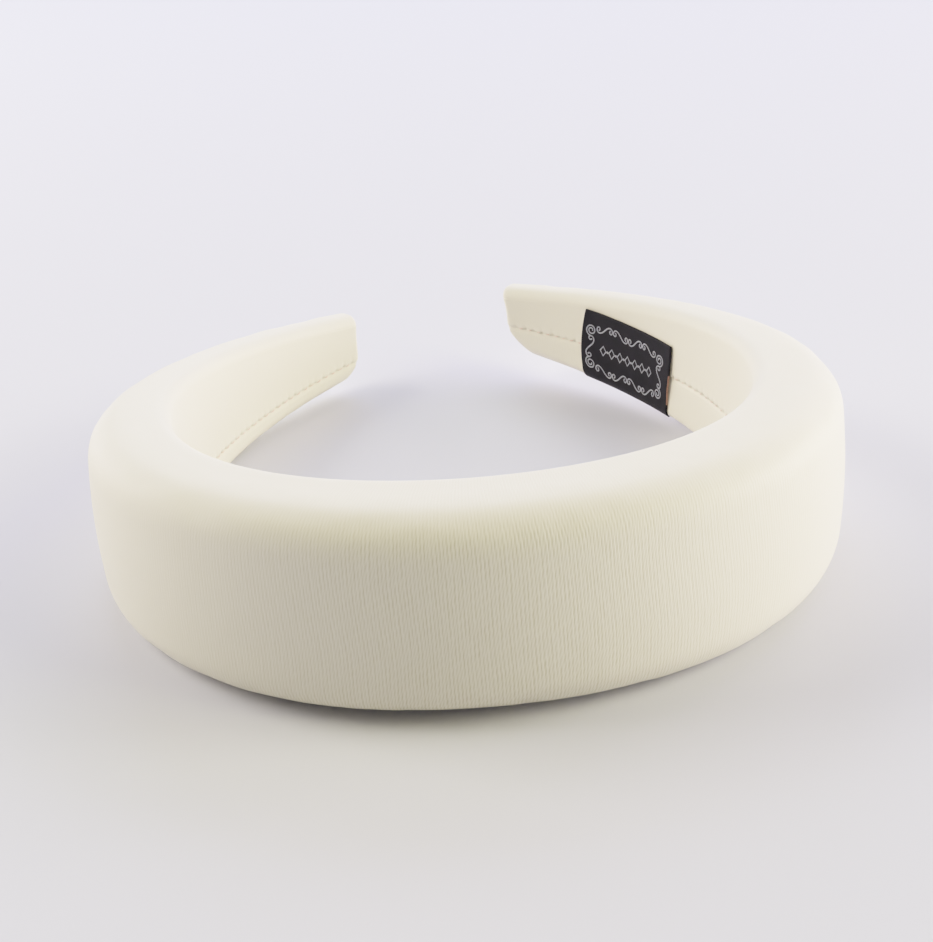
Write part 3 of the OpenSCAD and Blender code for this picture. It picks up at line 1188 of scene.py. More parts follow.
@dataclass(frozen=True)
class LapCloth:
    """The two laps of the cover on the inner face: the upper one is folded and laps over the lower one."""

    hoop: Hoop
    face: InnerFace
    sewing: SeamSewing
    material: bpy.types.Material
    column: float = 0.33 * MM
    edge_rows: tuple[float, ...] = (0.05, 0.35, 0.7, 1.0, 1.4)
    fold_rows: tuple[float, ...] = (2.6, 2.2, 1.85, 1.55, 1.3, 1.1, 0.92, 0.76, 0.6)
    fold_steps: int = 8
    fold_radius: float = 0.42 * MM
    fold_flattened: float = 0.25
    fold_points: int = 8
    back_rows: tuple[float, ...] = (0.8, 1.8)
    back_middle: float = 0.35
    back_depths: tuple[float, ...] = (0.84, 0.84, 0.5, 0.1)
    dip_rows: tuple[float, ...] = (1.0, 0.8, 0.62, 0.46, 0.3, 0.14, -0.02, -0.2, -0.45, -0.8)
    dip_steps: int = 5
    back_every: int = 4  # the lower lap's hidden side takes every fourth of its visible side's rows
    lower_wall: float = 0.5 * MM
    lower_wall_end: float = 0.1
    seam_dip: float = 0.32 * MM
    dip_reach: float = 1.3 * MM
    under_dip: float = 0.5 * MM
    pull_in: float = 0.2 * MM
    pull_reach: float = 0.6 * MM
    pull_share: float = 0.35
    lower_pull_reach: float = 0.7 * MM
    pillow: float = 0.1 * MM
    pillow_height: float = 0.9 * MM
    edge_pillow: float = 0.6
    pull_up: float = 0.12 * MM
    slack_share: float = 0.3
    lift_reach: float = 1.2 * MM
    tuck_rate: float = 0.014 * MM
    tuck_from: float = 0.9 * MM
    tuck_step: float = 0.8 * MM
    floor_gap: float = 0.12 * MM
    tip_end: float = 0.85

    @cached_property
    def columns(self) -> tuple[np.ndarray, np.ndarray]:
        """Spaces the laps' columns.

        Returns:
            Their shares, and their insets in the rolled ends.
        """
        hoop = self.hoop
        reach = hoop.half_girth - hoop.end_roll * (1 - self.tip_end)
        along = np.linspace(-reach, reach, int(round(2 * reach / self.column)) + 1)
        past = np.clip(np.abs(along) - (hoop.half_girth - hoop.end_roll), 0, hoop.end_roll)
        inset = hoop.end_roll - np.sqrt(hoop.end_roll**2 - past**2)
        return along / hoop.half_girth, inset

    def tucked(self, t: np.ndarray, root: Root) -> np.ndarray:
        """Depth by which a lap's hidden edge slips under the band's skin."""
        past = np.clip((root.start + self.tuck_from - t) / self.tuck_step, 0, None)
        return self.tuck_rate * past**2

    def front(self, root: Root, rows: tuple[float, ...], steps: int) -> LapFront:
        """Lays out a lap's visible side.

        Args:
            root: Edge of the inner face that the lap comes from.
            rows: Distances of the rows near the seam from it, in millimetres.
            steps: Steps from the rows near the face's edge to those near the seam.

        Returns:
            The shares, edge, seam and stitch pinch of the columns, the lap's width and its rows.
        """
        share, _ = self.columns
        edge, seam = self.face.edge(share, root), self.hoop.seam(share)
        pinch = self.sewing.pinch(share * self.hoop.half_girth)[:, None]
        width = root.side * (edge - seam)[:, None]
        near, zone = np.array(self.edge_rows) * MM + root.start, np.array(rows) * MM
        stretch = np.linspace(0, 1, steps + 1)[None, 1:-1]
        t = np.concatenate([
            np.broadcast_to(near, (len(share), len(near))),
            near[-1] + (width - zone[0] - near[-1]) * stretch,
            width - zone,
        ], axis=1)
        return LapFront(share[:, None], edge[:, None], seam[:, None], pinch, width, t)

    def piece(self, name: str, node: str, width: float,
              parts: tuple[tuple[np.ndarray, ...], ...]) -> bpy.types.Object:
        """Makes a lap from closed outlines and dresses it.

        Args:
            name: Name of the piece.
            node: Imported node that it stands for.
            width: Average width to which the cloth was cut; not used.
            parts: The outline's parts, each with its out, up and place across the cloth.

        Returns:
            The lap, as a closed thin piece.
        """
        out, up, v = (np.concatenate(rows, axis=1) for rows in zip(*parts))
        share, inset = self.columns
        places = self.hoop.at_rest(share[:, None], out + inset[:, None], up)
        places[..., 2] = np.maximum(places[..., 2], self.floor_gap)
        u = np.broadcast_to(share[:, None] * self.hoop.half_girth, v.shape)
        uv = np.stack([u, v], axis=-1) / MM
        uv = np.concatenate([uv, uv[:, :1]], axis=1)
        piece = new_piece(name, grid_mesh(name, places, uv, closed=True), self.material)
        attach(piece, BODY)
        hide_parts(node)
        return piece

    def build_upper(self) -> bpy.types.Object:
        """Builds the wide upper lap.

        Returns:
            The lap, with its fold puckered between the stitches.
        """
        root, radius = Root.UPPER, self.fold_radius
        lap = self.front(root, self.fold_rows, self.fold_steps)
        pinch, slack = lap.pinch, self.pillow * (1 - lap.pinch)
        height = lap.width - lap.t
        puff = bell(height - self.pillow_height, self.pillow_height)
        sink = self.tucked(lap.t, root) + self.pull_in * pinch * bell(height, self.pull_reach) - slack * puff
        front_out, front_up = self.face.profile(lap.share, root, lap.t, sink)
        lift = self.pull_up * pinch - self.slack_share * self.pull_up
        front_up = front_up + lift * bell(height, self.lift_reach)
        angle = np.linspace(180, 360, self.fold_points)[None, :] * DEGREE
        edge_in = self.pull_in * pinch - slack * math.exp(-self.edge_pillow)
        round_out = radius + radius * np.cos(angle) * (1 - self.fold_flattened * pinch)
        round_out = round_out + edge_in * (1 - np.cos(angle)) / 2
        round_up = lap.seam + radius + radius * np.sin(angle) + lift
        start = np.full_like(lap.width, self.edge_rows[-1] * MM + root.start)
        back_t = np.concatenate([
            lap.width - np.array(self.back_rows) * MM, start + (lap.width - start) * self.back_middle, start,
        ], axis=1)
        back_out = np.broadcast_to(np.array(self.back_depths) * MM, back_t.shape)
        return self.piece("upper_lap_cloth", "upper_lap_panel", float((lap.edge - lap.seam).mean()), (
            (front_out, front_up, -lap.t),
            (round_out, round_up, -lap.width - (angle - math.pi) * radius),
            (back_out, lap.edge - back_t, -2 * lap.width + back_t),
        ))

    def build_lower(self) -> bpy.types.Object:
        """Builds the narrow lower lap.

        Returns:
            The lap, which dips under the upper one's fold.
        """
        root = Root.LOWER
        lap = self.front(root, self.dip_rows, self.dip_steps)
        below = lap.width - lap.t
        dip = self.seam_dip * smoothstep(1 - below / self.dip_reach)
        under = self.under_dip * smoothstep(-below / self.under_dip)
        pull = self.pull_share * self.pull_in * lap.pinch * bell(below, self.lower_pull_reach)
        sink = self.tucked(lap.t, root) + dip + under + pull
        back_t, back_sink = (rows[:, ::-self.back_every] for rows in (lap.t, sink))
        back_sink = back_sink + self.lower_wall * np.linspace(1, self.lower_wall_end, back_t.shape[1])
        total = self.cover_width(lap.share[:, 0])[:, None]
        width = float((lap.seam - lap.edge).mean()) - root.start - self.dip_rows[-1] * MM
        return self.piece("lower_lap_cloth", "lower_lap_panel", width, (
            (*self.face.profile(lap.share, root, lap.t, sink), total + lap.t),
            (*self.face.profile(lap.share, root, back_t, back_sink), total + back_t),
        ))

    def cover_width(self, share: np.ndarray) -> np.ndarray:
        """Length of the cover from the inner face's upper edge, round the outside, to its lower edge."""
        outline = Section(self.hoop).outline(share)
        return np.linalg.norm(np.diff(outline, axis=1), axis=-1).sum(axis=1)


@dataclass(frozen=True)
class LabelPlace:
    """Where the label lies on the labelled leg, and how its edges lift and bow."""

    hoop: Hoop
    length: float = 30.5 * MM
    height: float = 19.5 * MM
    from_tip: float = 39.3 * MM
    tuck: float = 3.2 * MM
    tuck_span: tuple[float, float] = (0.9, 2.0)
    lean_share: float = 0.75
    bow: float = 1.2 * MM
    bow_span: tuple[float, float] = (0.55, 0.45)
    belly: float = 0.8
    draw: float = 1.7 * MM
    draw_span: float = 0.3
    off_tuck: float = 0.05 * MM
    off_leg: float = 0.12 * MM
    lift: float = 0.45 * MM
    lift_span: float = 0.2
    top_lift: float = 0.35
    tip_lift: float = 0.3
    tip_span: float = 0.12

    @property
    def share(self) -> float:
        """Share of the label's middle."""
        return 1 - self.from_tip / self.hoop.half_girth

    @cached_property
    def lean(self) -> float:
        """Works out the label's lean, which follows the leg's lower edge.

        Returns:
            Its angle to the hoop's own level.
        """
        reach = self.length / 2 / self.hoop.half_girth
        low = self.hoop.band(np.array([self.share - reach, self.share + reach])).low
        return self.lean_share * math.atan2(low[1] - low[0], self.length)

    def surface(self, along: np.ndarray, up: np.ndarray, off: np.ndarray | float) -> np.ndarray:
        """Finds places on the label.

        Args:
            along: Distances from the label's middle towards the tip.
            up: Distances from its lower end.
            off: Distances off the leg's surface.

        Returns:
            The places at rest.
        """
        hoop, radius = self.hoop, self.hoop.inner_round
        share = self.share + (along * math.cos(self.lean) - up * math.sin(self.lean)) / hoop.half_girth
        corner = hoop.band(share).low + radius
        base = hoop.band(np.array(self.share)).low + radius - self.tuck
        rise = base + along * math.sin(self.lean) + up * math.cos(self.lean) - corner
        bend = -np.minimum(rise, 0) / radius
        reach = radius + off
        out = radius - reach * np.cos(bend)
        return hoop.at_rest(share, out, corner + np.maximum(rise, 0) - reach * np.sin(bend))

    def bowed(self, along: np.ndarray, up: np.ndarray) -> np.ndarray:
        """Moves the tip-side edge outwards at half its height, and draws the crown side's lower corner in.

        Args:
            along: Distances from the label's middle towards the tip.
            up: Distances from its lower end.

        Returns:
            The moved distances along the label.
        """
        from_crown = along / self.length + 0.5
        belly = np.clip(np.sin(math.pi * up / self.height), 0, None) ** self.belly
        drawn_in = smoothstep(1 - from_crown / self.draw_span) * np.clip(1 - up / self.height, 0, None) ** 2
        return along + self.bow * ramp(from_crown, *self.bow_span) * belly + self.draw * drawn_in

    def raised(self, along: np.ndarray, up: np.ndarray) -> np.ndarray:
        """Lifts the label's edges, the crown-side one most, and that most at its lower corner.

        Args:
            along: Distances from the label's middle towards the tip.
            up: Distances from its lower end.

        Returns:
            Heights of the tape's back off the leg.
        """
        crown = smoothstep(1 - (along / self.length + 0.5) / self.lift_span)
        tip = smoothstep(1 - (0.5 - along / self.length) / self.tip_span)
        clear = ramp(up / self.tuck, *self.tuck_span)
        low = self.top_lift + (1 - self.top_lift) * smoothstep(1 - up / self.height)
        return self.off_tuck + clear * (self.off_leg + self.lift * (crown * low + self.tip_lift * tip))


@dataclass(frozen=True)
class WovenLabel:
    """The black damask label, its lower end turned under the leg's edge."""

    place: LabelPlace
    tape: bpy.types.Material
    pale_edge: bpy.types.Material
    brown_edge: bpy.types.Material
    name: str = "woven_label_tape"
    thickness: float = 0.35 * MM
    columns: int = 96
    rows: int = 60
    selvedge: float = 0.12 * MM
    brown_width: float = 0.22 * MM
    brown_span: tuple[float, float] = (0.2, 0.6)
    thin_edge: float = 0.1

    def mesh(self) -> bpy.types.Mesh:
        """Makes the tape.

        Returns:
            A closed thin sheet with bare edges, whose crown side slopes off.
        """
        place = self.place
        half = place.length / 2
        x = np.linspace(self.brown_width - half, half - self.selvedge, self.columns - 2)
        x = np.concatenate([[-half], x, [half]])
        y = np.linspace(0, 1, self.rows) * place.height
        along, up = np.meshgrid(x, y, indexing="ij")
        back = place.raised(along, up)
        bowed = place.bowed(along, up)
        thick = np.full((self.columns, 1), self.thickness)
        thick[0] *= self.thin_edge
        front_grid = place.surface(bowed, up, back + thick)
        back_grid = place.surface(bowed, up, back)
        points = np.concatenate([front_grid, back_grid[:, ::-1]], axis=1)
        uv = np.stack([along, up], axis=-1) / MM
        both = np.concatenate([uv, uv[:, ::-1], uv[:, :1]], axis=1)
        return grid_mesh(self.name, points, both, closed=True)

    def edge_materials(self) -> np.ndarray:
        """Gives each face its material.

        Returns:
            A number for each face: 0 for the tape, 1 for a pale edge and 2 for the brown selvedge.
        """
        numbers = np.zeros((self.columns - 1, 2 * self.rows), dtype=int)
        numbers[:, -1] = 1
        numbers[-1] = 1
        first, last = (int(share * self.rows) for share in self.brown_span)
        numbers[0, first:last] = numbers[0, -last - 1:-first - 1] = 2
        return np.concatenate([numbers.ravel(), [0, 1]])

    def build(self) -> bpy.types.Object:
        """Builds the label and dresses it.

        Returns:
            The label, as a sheet stretched over the laps.
        """
        piece = new_piece(self.name, self.mesh(), self.tape)
        piece.data.materials.append(self.pale_edge)
        piece.data.materials.append(self.brown_edge)
        piece.data.polygons.foreach_set("material_index", self.edge_materials())
        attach(piece, BODY)
        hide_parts("woven_label")
        return piece


class NodeShape:
    """A Geometry Nodes tree with named inputs, run once on a carrier mesh."""

    kinds = {
        float: "NodeSocketFloat", int: "NodeSocketInt", bpy.types.Object: "NodeSocketObject",
        bpy.types.Material: "NodeSocketMaterial",
    }

    def __init__(self, name: str) -> None:
        """Starts a tree.

        Args:
            name: Name of the tree.
        """
        self.tree = bpy.data.node_groups.new(name, "GeometryNodeTree")
        self.tree.interface.new_socket("Geometry", in_out="INPUT", socket_type="NodeSocketGeometry")
        self.tree.interface.new_socket("Geometry", in_out="OUTPUT", socket_type="NodeSocketGeometry")
        self.values: dict[str, object] = {}
        self.group = add_node(self.tree, "NodeGroupInput")

    def inputs(self, values: dict[str, object]) -> list[bpy.types.NodeSocket]:
        """Adds named inputs and the values that they get.

        Args:
            values: Number, object or material for each input, by its name.

        Returns:
            The sockets inside the tree.
        """
        for name, value in values.items():
            kind = self.kinds[type(value)]
            socket = self.tree.interface.new_socket(name, in_out="INPUT", socket_type=kind)
            self.values[socket.identifier] = value
        return [self.group.outputs[name] for name in values]

    def vectors(self, *names: str) -> list[bpy.types.NodeSocket]:
        """Reads vector attributes of the carrier's points."""
        return [add_node(self.tree, "GeometryNodeInputNamedAttribute", {"Name": name},
                         data_type="FLOAT_VECTOR").outputs["Attribute"] for name in names]

    def thread(self, line: bpy.types.NodeSocket, radius: bpy.types.NodeSocket,
               sides: int) -> bpy.types.NodeSocket:
        """Lays a round thread with closed ends along a line.

        Args:
            line: Curve that it follows.
            radius: Radius of the thread.
            sides: Flat sides round the thread.

        Returns:
            The thread's mesh.
        """
        ring = add_node(self.tree, "GeometryNodeCurvePrimitiveCircle", {
            "Resolution": sides, "Radius": radius,
        })
        return add_node(self.tree, "GeometryNodeCurveToMesh", {
            "Curve": line, "Profile Curve": ring.outputs["Curve"], "Fill Caps": True,
        }).outputs["Mesh"]

    def run(self, carrier: bpy.types.Object, shape: bpy.types.NodeSocket,
            material: bpy.types.NodeSocket) -> bpy.types.Mesh:
        """Ends the tree, runs it on the carrier and removes the carrier.

        Args:
            carrier: Object whose mesh feeds the tree.
            shape: Last geometry socket.
            material: Material socket of the group's input.

        Returns:
            The result as a plain mesh.
        """
        real = add_node(self.tree, "GeometryNodeRealizeInstances", {"Geometry": shape})
        dressed = add_node(self.tree, "GeometryNodeSetMaterial", {
            "Geometry": real.outputs["Geometry"], "Material": material,
        })
        add_node(self.tree, "NodeGroupOutput", {"Geometry": dressed.outputs["Geometry"]})
        modifier = carrier.modifiers.new(self.tree.name, "NODES")
        modifier.node_group = self.tree
        for identifier, value in self.values.items():
            modifier[identifier] = value
        evaluated = carrier.evaluated_get(bpy.context.evaluated_depsgraph_get())
        mesh = bpy.data.meshes.new_from_object(evaluated)
        carrier.modifiers.remove(modifier)
        bpy.data.objects.remove(carrier)
        mesh.shade_smooth()
        return mesh


def carrier(name: str, places: np.ndarray, attributes: dict[str, np.ndarray]) -> bpy.types.Object:
    """Makes an object of loose points for a tree to work on.

    Args:
        name: Name of the object.
        places: One row for each point.
        attributes: Vector attributes of the points, by name.

    Returns:
        The object, linked to the scene.
    """
    mesh = bpy.data.meshes.new(name)
    mesh.from_pydata(places.tolist(), [], [])
    for title, rows in attributes.items():
        attribute = mesh.attributes.new(title, "FLOAT_VECTOR", "POINT")
        attribute.data.foreach_set("vector", np.ascontiguousarray(rows, dtype=np.float32).ravel())
    piece = bpy.data.objects.new(name, mesh)
    bpy.context.scene.collection.objects.link(piece)
    return piece


@dataclass(frozen=True)
class SeamStitches:
    """Slip stitches of peach thread that lie along the fold from hole to hole, one instance for each."""

    hoop: Hoop
    sewing: SeamSewing
    label: LabelPlace
    material: bpy.types.Material
    name: str = "seam_stitches"
    thread: float = 0.3 * MM
    reach: float = 1.5 * MM
    slant: float = 0.35 * MM
    arch: float = 0.5 * MM
    dip: float = 0.26 * MM
    least_size: tuple[float, float, float] = (0.8, 0.8, 0.8)
    most_size: tuple[float, float, float] = (1.2, 1.15, 1.2)
    steps: int = 8
    sides: int = 7
    fold_place: float = 0.14 * MM
    label_gap: float = 0.3 * MM
    ahead: float = 0.5 * MM
    outwards: tuple[float, float] = (1 * MM, 0.6 * MM)
    seed: int = 5

    def points(self) -> bpy.types.Object:
        """Places the stitches, but for those that the label covers.

        Returns:
            A carrier with a point on the fold for each, and its ways along the seam and off it.
        """
        half, holes = self.hoop.half_girth, self.sewing.places
        along = (holes[1:] + holes[:-1]) / 2
        under = np.abs(along - self.label.share * half) < self.label.length / 2 + self.label_gap
        along = along[~under]
        here, there, off = (
            self.hoop.at_rest(share, self.fold_place - out, self.hoop.seam(share) + self.fold_place - down)
            for share, out, down in (
                (along / half, 0, 0), ((along + self.ahead) / half, 0, 0), (along / half, *self.outwards),
            )
        )
        ways = [rows / np.linalg.norm(rows, axis=1, keepdims=True) for rows in (there - here, off - here)]
        return carrier(self.name + "_points", here, dict(zip(("along_seam", "off_cloth"), ways)))

    def build(self) -> bpy.types.Object:
        """Builds the stitches with Geometry Nodes.

        Returns:
            All the stitches, as one piece.
        """
        shape = NodeShape("seam_stitches")
        tree = shape.tree
        thread, reach, slant, arch, dip, seed, material = shape.inputs({
            "Thread Radius": self.thread / 2, "Half Reach": self.reach / 2, "Half Slant": self.slant / 2,
            "Arch": self.arch, "Dip": -self.dip, "Seed": self.seed, "Material": self.material,
        })
        minus = [add_node(tree, "ShaderNodeMath", {0: socket, 1: -1.0}, operation="MULTIPLY").outputs[0]
                 for socket in (reach, slant)]
        foot, middle, top = [add_node(tree, "ShaderNodeCombineXYZ", place).outputs["Vector"] for place in (
            {"X": minus[0], "Y": minus[1], "Z": dip}, {"Z": arch}, {"X": reach, "Y": slant, "Z": dip},
        )]
        bow = add_node(tree, "GeometryNodeCurveQuadraticBezier", {
            "Resolution": self.steps, "Start": foot, "Middle": middle, "End": top,
        })
        along_seam, off_cloth = shape.vectors("along_seam", "off_cloth")
        turn = add_node(tree, "FunctionNodeAxesToRotation", {
            "Primary Axis": off_cloth, "Secondary Axis": along_seam,
        }, primary_axis="Z", secondary_axis="X")
        size = add_node(tree, "FunctionNodeRandomValue", {
            "Min": self.least_size, "Max": self.most_size, "Seed": seed,
        }, data_type="FLOAT_VECTOR")
        placed = add_node(tree, "GeometryNodeInstanceOnPoints", {
            "Points": shape.group.outputs["Geometry"],
            "Instance": shape.thread(bow.outputs["Curve"], thread, self.sides),
            "Rotation": turn.outputs["Rotation"], "Scale": size.outputs["Value"],
        })
        mesh = shape.run(self.points(), placed.outputs["Instances"], material)
        piece = new_piece(self.name, mesh, self.material)
        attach(piece, BODY)
        return piece


class Motif(NamedTuple):
    """A run of one ornament: its centreline, and where each copy sits, its turn and its size."""

    line: np.ndarray
    closed: bool
    at: np.ndarray
    turn: np.ndarray
    size: np.ndarray


@dataclass(frozen=True)
class LabelOrnament:
    """Silver figure threads on the label: a plain scroll border and a row of lozenges and dots."""

    label: WovenLabel
    material: bpy.types.Material
    name: str = "label_scroll_threads"
    thread: float = 0.34 * MM
    relief: float = 0.35
    middle: tuple[float, float] = (0.7 * MM, 10.1 * MM)
    run_rise: float = 5.5 * MM
    run_pitch: float = 5.1 * MM
    run_count: int = 4
    scroll_turn: float = 400 * DEGREE
    scroll_power: float = 2.3
    scroll_heading: float = -42 * DEGREE
    scroll_points: int = 65
    scroll_size: tuple[float, float] = (4.75 * MM, 2.2 * MM)
    corner: tuple[float, float] = (11.7 * MM, 4.4 * MM)
    corner_size: float = 1.55 * MM
    corner_turns: float = 1.8
    corner_inner: float = 0.22
    corner_points: int = 60
    side_size: tuple[float, float] = (5.7 * MM, 2.2 * MM)
    side_shift: float = 0.1 * MM
    lozenge: tuple[float, float] = (0.85 * MM, 1.25 * MM)
    lozenge_pitch: float = 2.6 * MM
    lozenge_count: int = 7
    dot: float = 0.16 * MM
    dot_corners: int = 8
    sides: int = 8

    def scroll(self) -> np.ndarray:
        """Draws an S-scroll whose ends curl up.

        Returns:
            Its centreline, one unit wide and one high.
        """
        s = np.linspace(-1, 1, self.scroll_points)
        middle = (s[1:] + s[:-1]) / 2
        angle = self.scroll_heading + self.scroll_turn * np.abs(middle) ** self.scroll_power
        steps = np.stack([np.cos(angle), np.sin(angle)], axis=-1) * (s[1] - s[0])
        line = np.concatenate([[[0, 0]], np.cumsum(steps, axis=0)])
        low, high = line.min(axis=0), line.max(axis=0)
        return (line - (low + high) / 2) / (high - low)

    def spiral(self) -> np.ndarray:
        """Draws a corner's loop, which winds inwards.

        Returns:
            Its centreline, one unit in radius.
        """
        t = np.linspace(0, 1, self.corner_points)
        radius, angle = 1 - (1 - self.corner_inner) * t, 2 * math.pi * self.corner_turns * t
        return np.stack([radius * np.cos(angle), radius * np.sin(angle)], axis=-1)

    def ring(self, corners: int) -> np.ndarray:
        """Centreline of a closed ring with some corners, one unit in radius."""
        angle = np.arange(corners) * 2 * math.pi / corners
        return np.stack([np.cos(angle), np.sin(angle)], axis=-1)

    def motifs(self) -> list[Motif]:
        """Lays the ornament out in the label's own plane.

        Returns:
            Its runs, with the ornament's middle at 0.
        """
        rows = range(self.run_count)
        runs = [(i, side) for side in (1, -1) for i in rows]
        sides = [(x, y) for x in (1, -1) for y in (1, -1)]
        scroll, spiral = self.scroll(), self.spiral()
        across = [self.run_pitch * ((self.run_count - 1) / 2 - i) for i, _ in runs]
        border = Motif(
            scroll, False,
            np.array([(x, side * self.run_rise) for x, (_, side) in zip(across, runs)]),
            np.zeros(len(runs)),
            np.array([(self.scroll_size[0] * (-1) ** i, self.scroll_size[1] * side) for i, side in runs]),
        )
        ends = Motif(
            scroll, False,
            np.array([(x * (self.corner[0] + self.side_shift), 0) for x in (1, -1)]),
            np.full(2, math.pi / 2),
            np.array([(self.side_size[0], -self.side_size[1] * x) for x in (1, -1)]),
        )
        loops = Motif(
            spiral, False,
            np.array([(x * self.corner[0], y * self.corner[1]) for x, y in sides]),
            np.array([-math.pi / 2 * x * y for x, y in sides]),
            np.array([(self.corner_size * x, self.corner_size * y) for x, y in sides]),
        )
        spots = self.lozenge_pitch * (np.arange(self.lozenge_count) - (self.lozenge_count - 1) / 2)
        gaps = (spots[1:] + spots[:-1]) / 2
        kinds = (4, spots, self.lozenge), (self.dot_corners, gaps, (self.dot, self.dot))
        row = [Motif(self.ring(corners), True, np.stack([at, at * 0], axis=-1), at * 0,
                     np.tile(size, (len(at), 1))) for corners, at, size in kinds]
        return [border, ends, loops, *row]

    def run(self, motif: Motif) -> bpy.types.Mesh:
        """Repeats one motif with Geometry Nodes.

        Args:
            motif: The run that is laid out.

        Returns:
            Its threads as a flat mesh, with their own thickness.
        """
        curve = bpy.data.curves.new("motif_line", "CURVE")
        curve.dimensions = "3D"
        spline = curve.splines.new("POLY")
        spline.points.add(len(motif.line) - 1)
        for point, (x, y) in zip(spline.points, motif.line):
            point.co = (x, y, 0, 1)
        spline.use_cyclic_u = motif.closed
        line = bpy.data.objects.new("motif_line", curve)
        bpy.context.scene.collection.objects.link(line)
        shape = NodeShape("ornament_run")
        tree = shape.tree
        source, radius, material = shape.inputs({
            "Motif": line, "Thread Radius": self.thread / 2, "Material": self.material,
        })
        copied = add_node(tree, "GeometryNodeObjectInfo", {"Object": source})
        turn, size = shape.vectors("turn", "size")
        rotation = add_node(tree, "FunctionNodeEulerToRotation", {"Euler": turn})
        placed = add_node(tree, "GeometryNodeInstanceOnPoints", {
            "Points": shape.group.outputs["Geometry"], "Instance": copied.outputs["Geometry"],
            "Rotation": rotation.outputs["Rotation"], "Scale": size,
        })
        lines = add_node(tree, "GeometryNodeRealizeInstances", {"Geometry": placed.outputs["Instances"]})
        threads = shape.thread(lines.outputs["Geometry"], radius, self.sides)
        count = len(motif.at)
        points = carrier("ornament_points", np.column_stack([motif.at, np.zeros(count)]), {
            "turn": np.column_stack([np.zeros((count, 2)), motif.turn]),
            "size": np.column_stack([motif.size, np.ones(count)]),
        })
        mesh = shape.run(points, threads, material)
        bpy.data.objects.remove(line)
        return mesh

    def build(self) -> bpy.types.Object:
        """Builds the ornament flat, then lays it on the label.

        Returns:
            All its threads, as one piece.
        """
        whole = bmesh.new()
        for motif in self.motifs():
            mesh = self.run(motif)
            whole.from_mesh(mesh)
            bpy.data.meshes.remove(mesh)
        # The way along, up and off the label is left-handed, so its faces are turned over to point outwards.
        bmesh.ops.reverse_faces(whole, faces=whole.faces)
        mesh = bpy.data.meshes.new(self.name)
        whole.to_mesh(mesh)
        whole.free()
        mesh.shade_smooth()
        flat = places_of(mesh)
        place = self.label.place
        along, up = flat[:, 0] + self.middle[0], flat[:, 1] + self.middle[1]
        off = place.raised(along, up) + self.label.thickness + flat[:, 2] * self.relief
        set_places(mesh, place.surface(place.bowed(along, up), up, off))
        piece = new_piece(self.name, mesh, self.material)
        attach(piece, BODY)
        return piece


@dataclass(frozen=True)
class Softbox:
    """A square studio light, aimed at the headband from an azimuth, counted from the right, and a height."""

    name: str
    azimuth: float
    elevation: float
    power: float
    colour: str
    side: float = 0.7
    distance: float = 1.2

    def build(self) -> bpy.types.Object:
        """Hangs the light.

        Returns:
            The lamp, which the camera doesn't see.
        """
        light = bpy.data.lights.new(self.name, "AREA")
        light.size = self.side
        light.energy = self.power
        light.color = linear(self.colour)[:3]
        lamp = bpy.data.objects.new(self.name, light)
        azimuth, elevation = self.azimuth * DEGREE, self.elevation * DEGREE
        level, height = self.distance * math.cos(elevation), self.distance * math.sin(elevation)
        at = Vector((level * math.cos(azimuth), level * math.sin(azimuth), height))
        lamp.location = at
        lamp.rotation_euler = (-at).to_track_quat("-Z", "Y").to_euler()
        lamp.visible_camera = False
        bpy.context.scene.collection.objects.link(lamp)
        return lamp


@dataclass(frozen=True)
class Viewpoint:
    """The camera, placed in the hoop's own frame and carried along as the hoop is laid down."""

    hoop: Hoop
    yaw: float = 4.41 * DEGREE
    elevation: float = 23.24 * DEGREE
    roll: float = 3.66 * DEGREE
    distance: float = 380.06 * MM
    aim_y: float = 67 * MM
    offset: tuple[float, float] = (-1.28 * MM, 7.74 * MM)
    lens: float = 66.0

    def build(self) -> bpy.types.Object:
        """Sets up the camera.

        Returns:
            The camera, which is the scene's own.
        """
        yaw, elevation, roll = self.yaw, self.elevation, self.roll
        level = np.array([math.cos(yaw), -math.sin(yaw), 0])
        ahead = np.array([math.sin(yaw), math.cos(yaw), 0])
        upright = math.sin(elevation) * ahead + math.cos(elevation) * np.array([0, 0, 1])
        forward = math.cos(elevation) * ahead - math.sin(elevation) * np.array([0, 0, 1])
        right = math.cos(roll) * level - math.sin(roll) * upright
        up = math.sin(roll) * level + math.cos(roll) * upright
        aim = np.array([0, self.aim_y, 0]) - self.offset[0] * right - self.offset[1] * up
        spot = aim - self.distance * forward
        turn = np.stack([right, up, -forward], axis=1)
        camera = bpy.data.objects.new("camera", bpy.data.cameras.new("camera"))
        camera.data.lens = self.lens
        pose = Matrix((self.hoop.tip @ turn).tolist()).to_4x4()
        pose.translation = Vector(self.hoop.lay(spot))
        camera.matrix_world = pose
        bpy.context.scene.collection.objects.link(camera)
        bpy.context.scene.camera = camera
        return camera


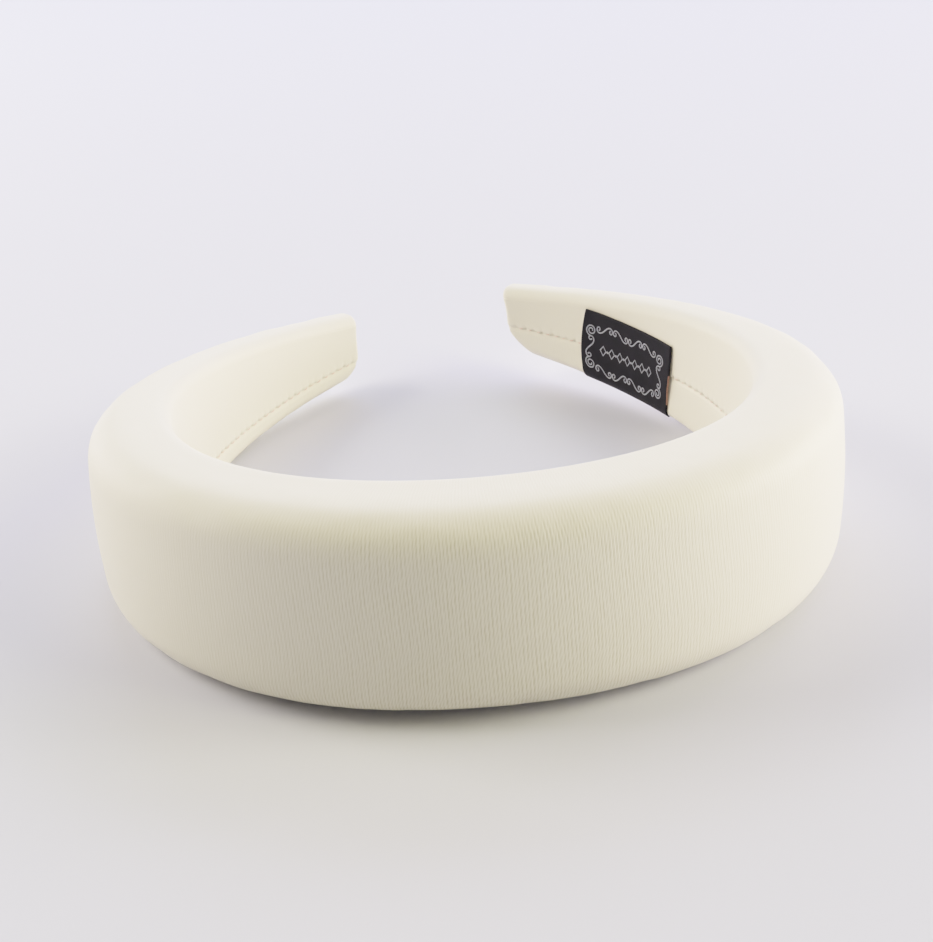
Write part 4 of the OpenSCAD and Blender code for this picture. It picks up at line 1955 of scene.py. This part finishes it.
@dataclass(frozen=True)
class Studio:
    """A pale paper floor, soft lights and the camera."""

    hoop: Hoop
    paper: bpy.types.Material
    floor_size: float = 12.0
    lights: tuple[Softbox, ...] = (
        Softbox("right_low_softbox", 0, 12, 27, "#F5ECFF"),
        Softbox("front_right_softbox", -20, 35, 15, "#FFFBC6"),
        Softbox("back_right_softbox", 45, 35, 9.9, "#E3D9FF"),
        Softbox("back_softbox", 90, 35, 11.7, "#CAD6FF"),
        Softbox("back_left_low_softbox", 135, 12, 11.9, "#FFF3FB"),
        Softbox("left_softbox", 164, 35, 20.7, "#FFF8EA"),
    )
    backdrop_colour: str = "#F4F4FF"
    backdrop_glow: float = 1.2
    backdrop_height: float = 0.3
    room_glow: float = 0.08
    brightest: float = 4.0
    curve_points: int = 16
    curve_spread: float = 1.5

    def backdrop(self) -> None:
        """Closes the set with a pale backdrop, bright at the floor's far edge and fading upwards."""
        world = bpy.data.worlds.new("pale_backdrop")
        world.use_nodes = True
        tree = world.node_tree
        tree.nodes.clear()
        way = add_node(tree, "ShaderNodeTexCoord").outputs["Generated"]
        height = add_node(tree, "ShaderNodeSeparateXYZ", {0: way}).outputs["Z"]
        strength = add_node(tree, "ShaderNodeMapRange", {
            "Value": height, "From Min": 0.0, "From Max": self.backdrop_height,
            "To Min": self.backdrop_glow, "To Max": self.room_glow,
        }, interpolation_type="SMOOTHSTEP").outputs["Result"]
        glow = add_node(tree, "ShaderNodeBackground", {
            "Color": linear(self.backdrop_colour), "Strength": strength,
        })
        add_node(tree, "ShaderNodeOutputWorld", {"Surface": glow.outputs["Background"]})
        bpy.context.scene.world = world

    def camera_response(self) -> None:
        """Gives the picture a camera's soft shoulder, 1 - exp(-x), so that lit cloth stays under white."""
        view = bpy.context.scene.view_settings
        view.view_transform = "Standard"
        view.use_curve_mapping = True
        mapping = view.curve_mapping
        mapping.white_level = (self.brightest,) * 3
        curve = mapping.curves[3]
        for i in range(1, self.curve_points):
            x = (i / self.curve_points) ** self.curve_spread
            curve.points.new(x, 1 - math.exp(-self.brightest * x))
        curve.points[len(curve.points) - 1].location = (1, 1 - math.exp(-self.brightest))
        mapping.update()

    def build(self) -> None:
        """Builds the floor, the lights and the camera."""
        half = self.floor_size / 2
        mesh = bpy.data.meshes.new("paper_floor")
        corners = [(x * half, y * half, 0) for x, y in ((-1, -1), (1, -1), (1, 1), (-1, 1))]
        mesh.from_pydata(corners, [], [(0, 1, 2, 3)])
        new_piece("paper_floor", mesh, self.paper)
        for light in self.lights:
            light.build()
        self.backdrop()
        self.camera_response()
        Viewpoint(self.hoop).build()


def main() -> None:
    """Builds the studio and every piece of the headband, in order."""
    logging.basicConfig(level=logging.INFO, format="%(name)s: %(message)s")
    hoop = Hoop()
    face = InnerFace(hoop)
    Studio(hoop, StudioPaper().build()).build()
    satin = IvorySatin().build()
    sewing = SeamSewing(hoop)
    label_place = LabelPlace(hoop)
    label = WovenLabel(
        label_place,
        LabelSatin().build(),
        EdgeYarn("undyed_label_yarn", "#DDD6CB", "#B9AFA3").build(),
        EdgeYarn("singed_brown_selvedge", "#B08A74", "#835C4A").build(),
    )
    laps = LapCloth(hoop, face, sewing, satin)
    makers = (
        PaddedBand(hoop, face, satin).build,
        laps.build_upper,
        laps.build_lower,
        SeamStitches(hoop, sewing, label_place, SewingThread().build()).build,
        label.build,
        LabelOrnament(label, SilverThread().build()).build,
    )
    for make in makers:
        piece = make()
        LOG.info("%s: %d faces", piece.name, len(piece.data.polygons))


if __name__ == "__main__":
    main()
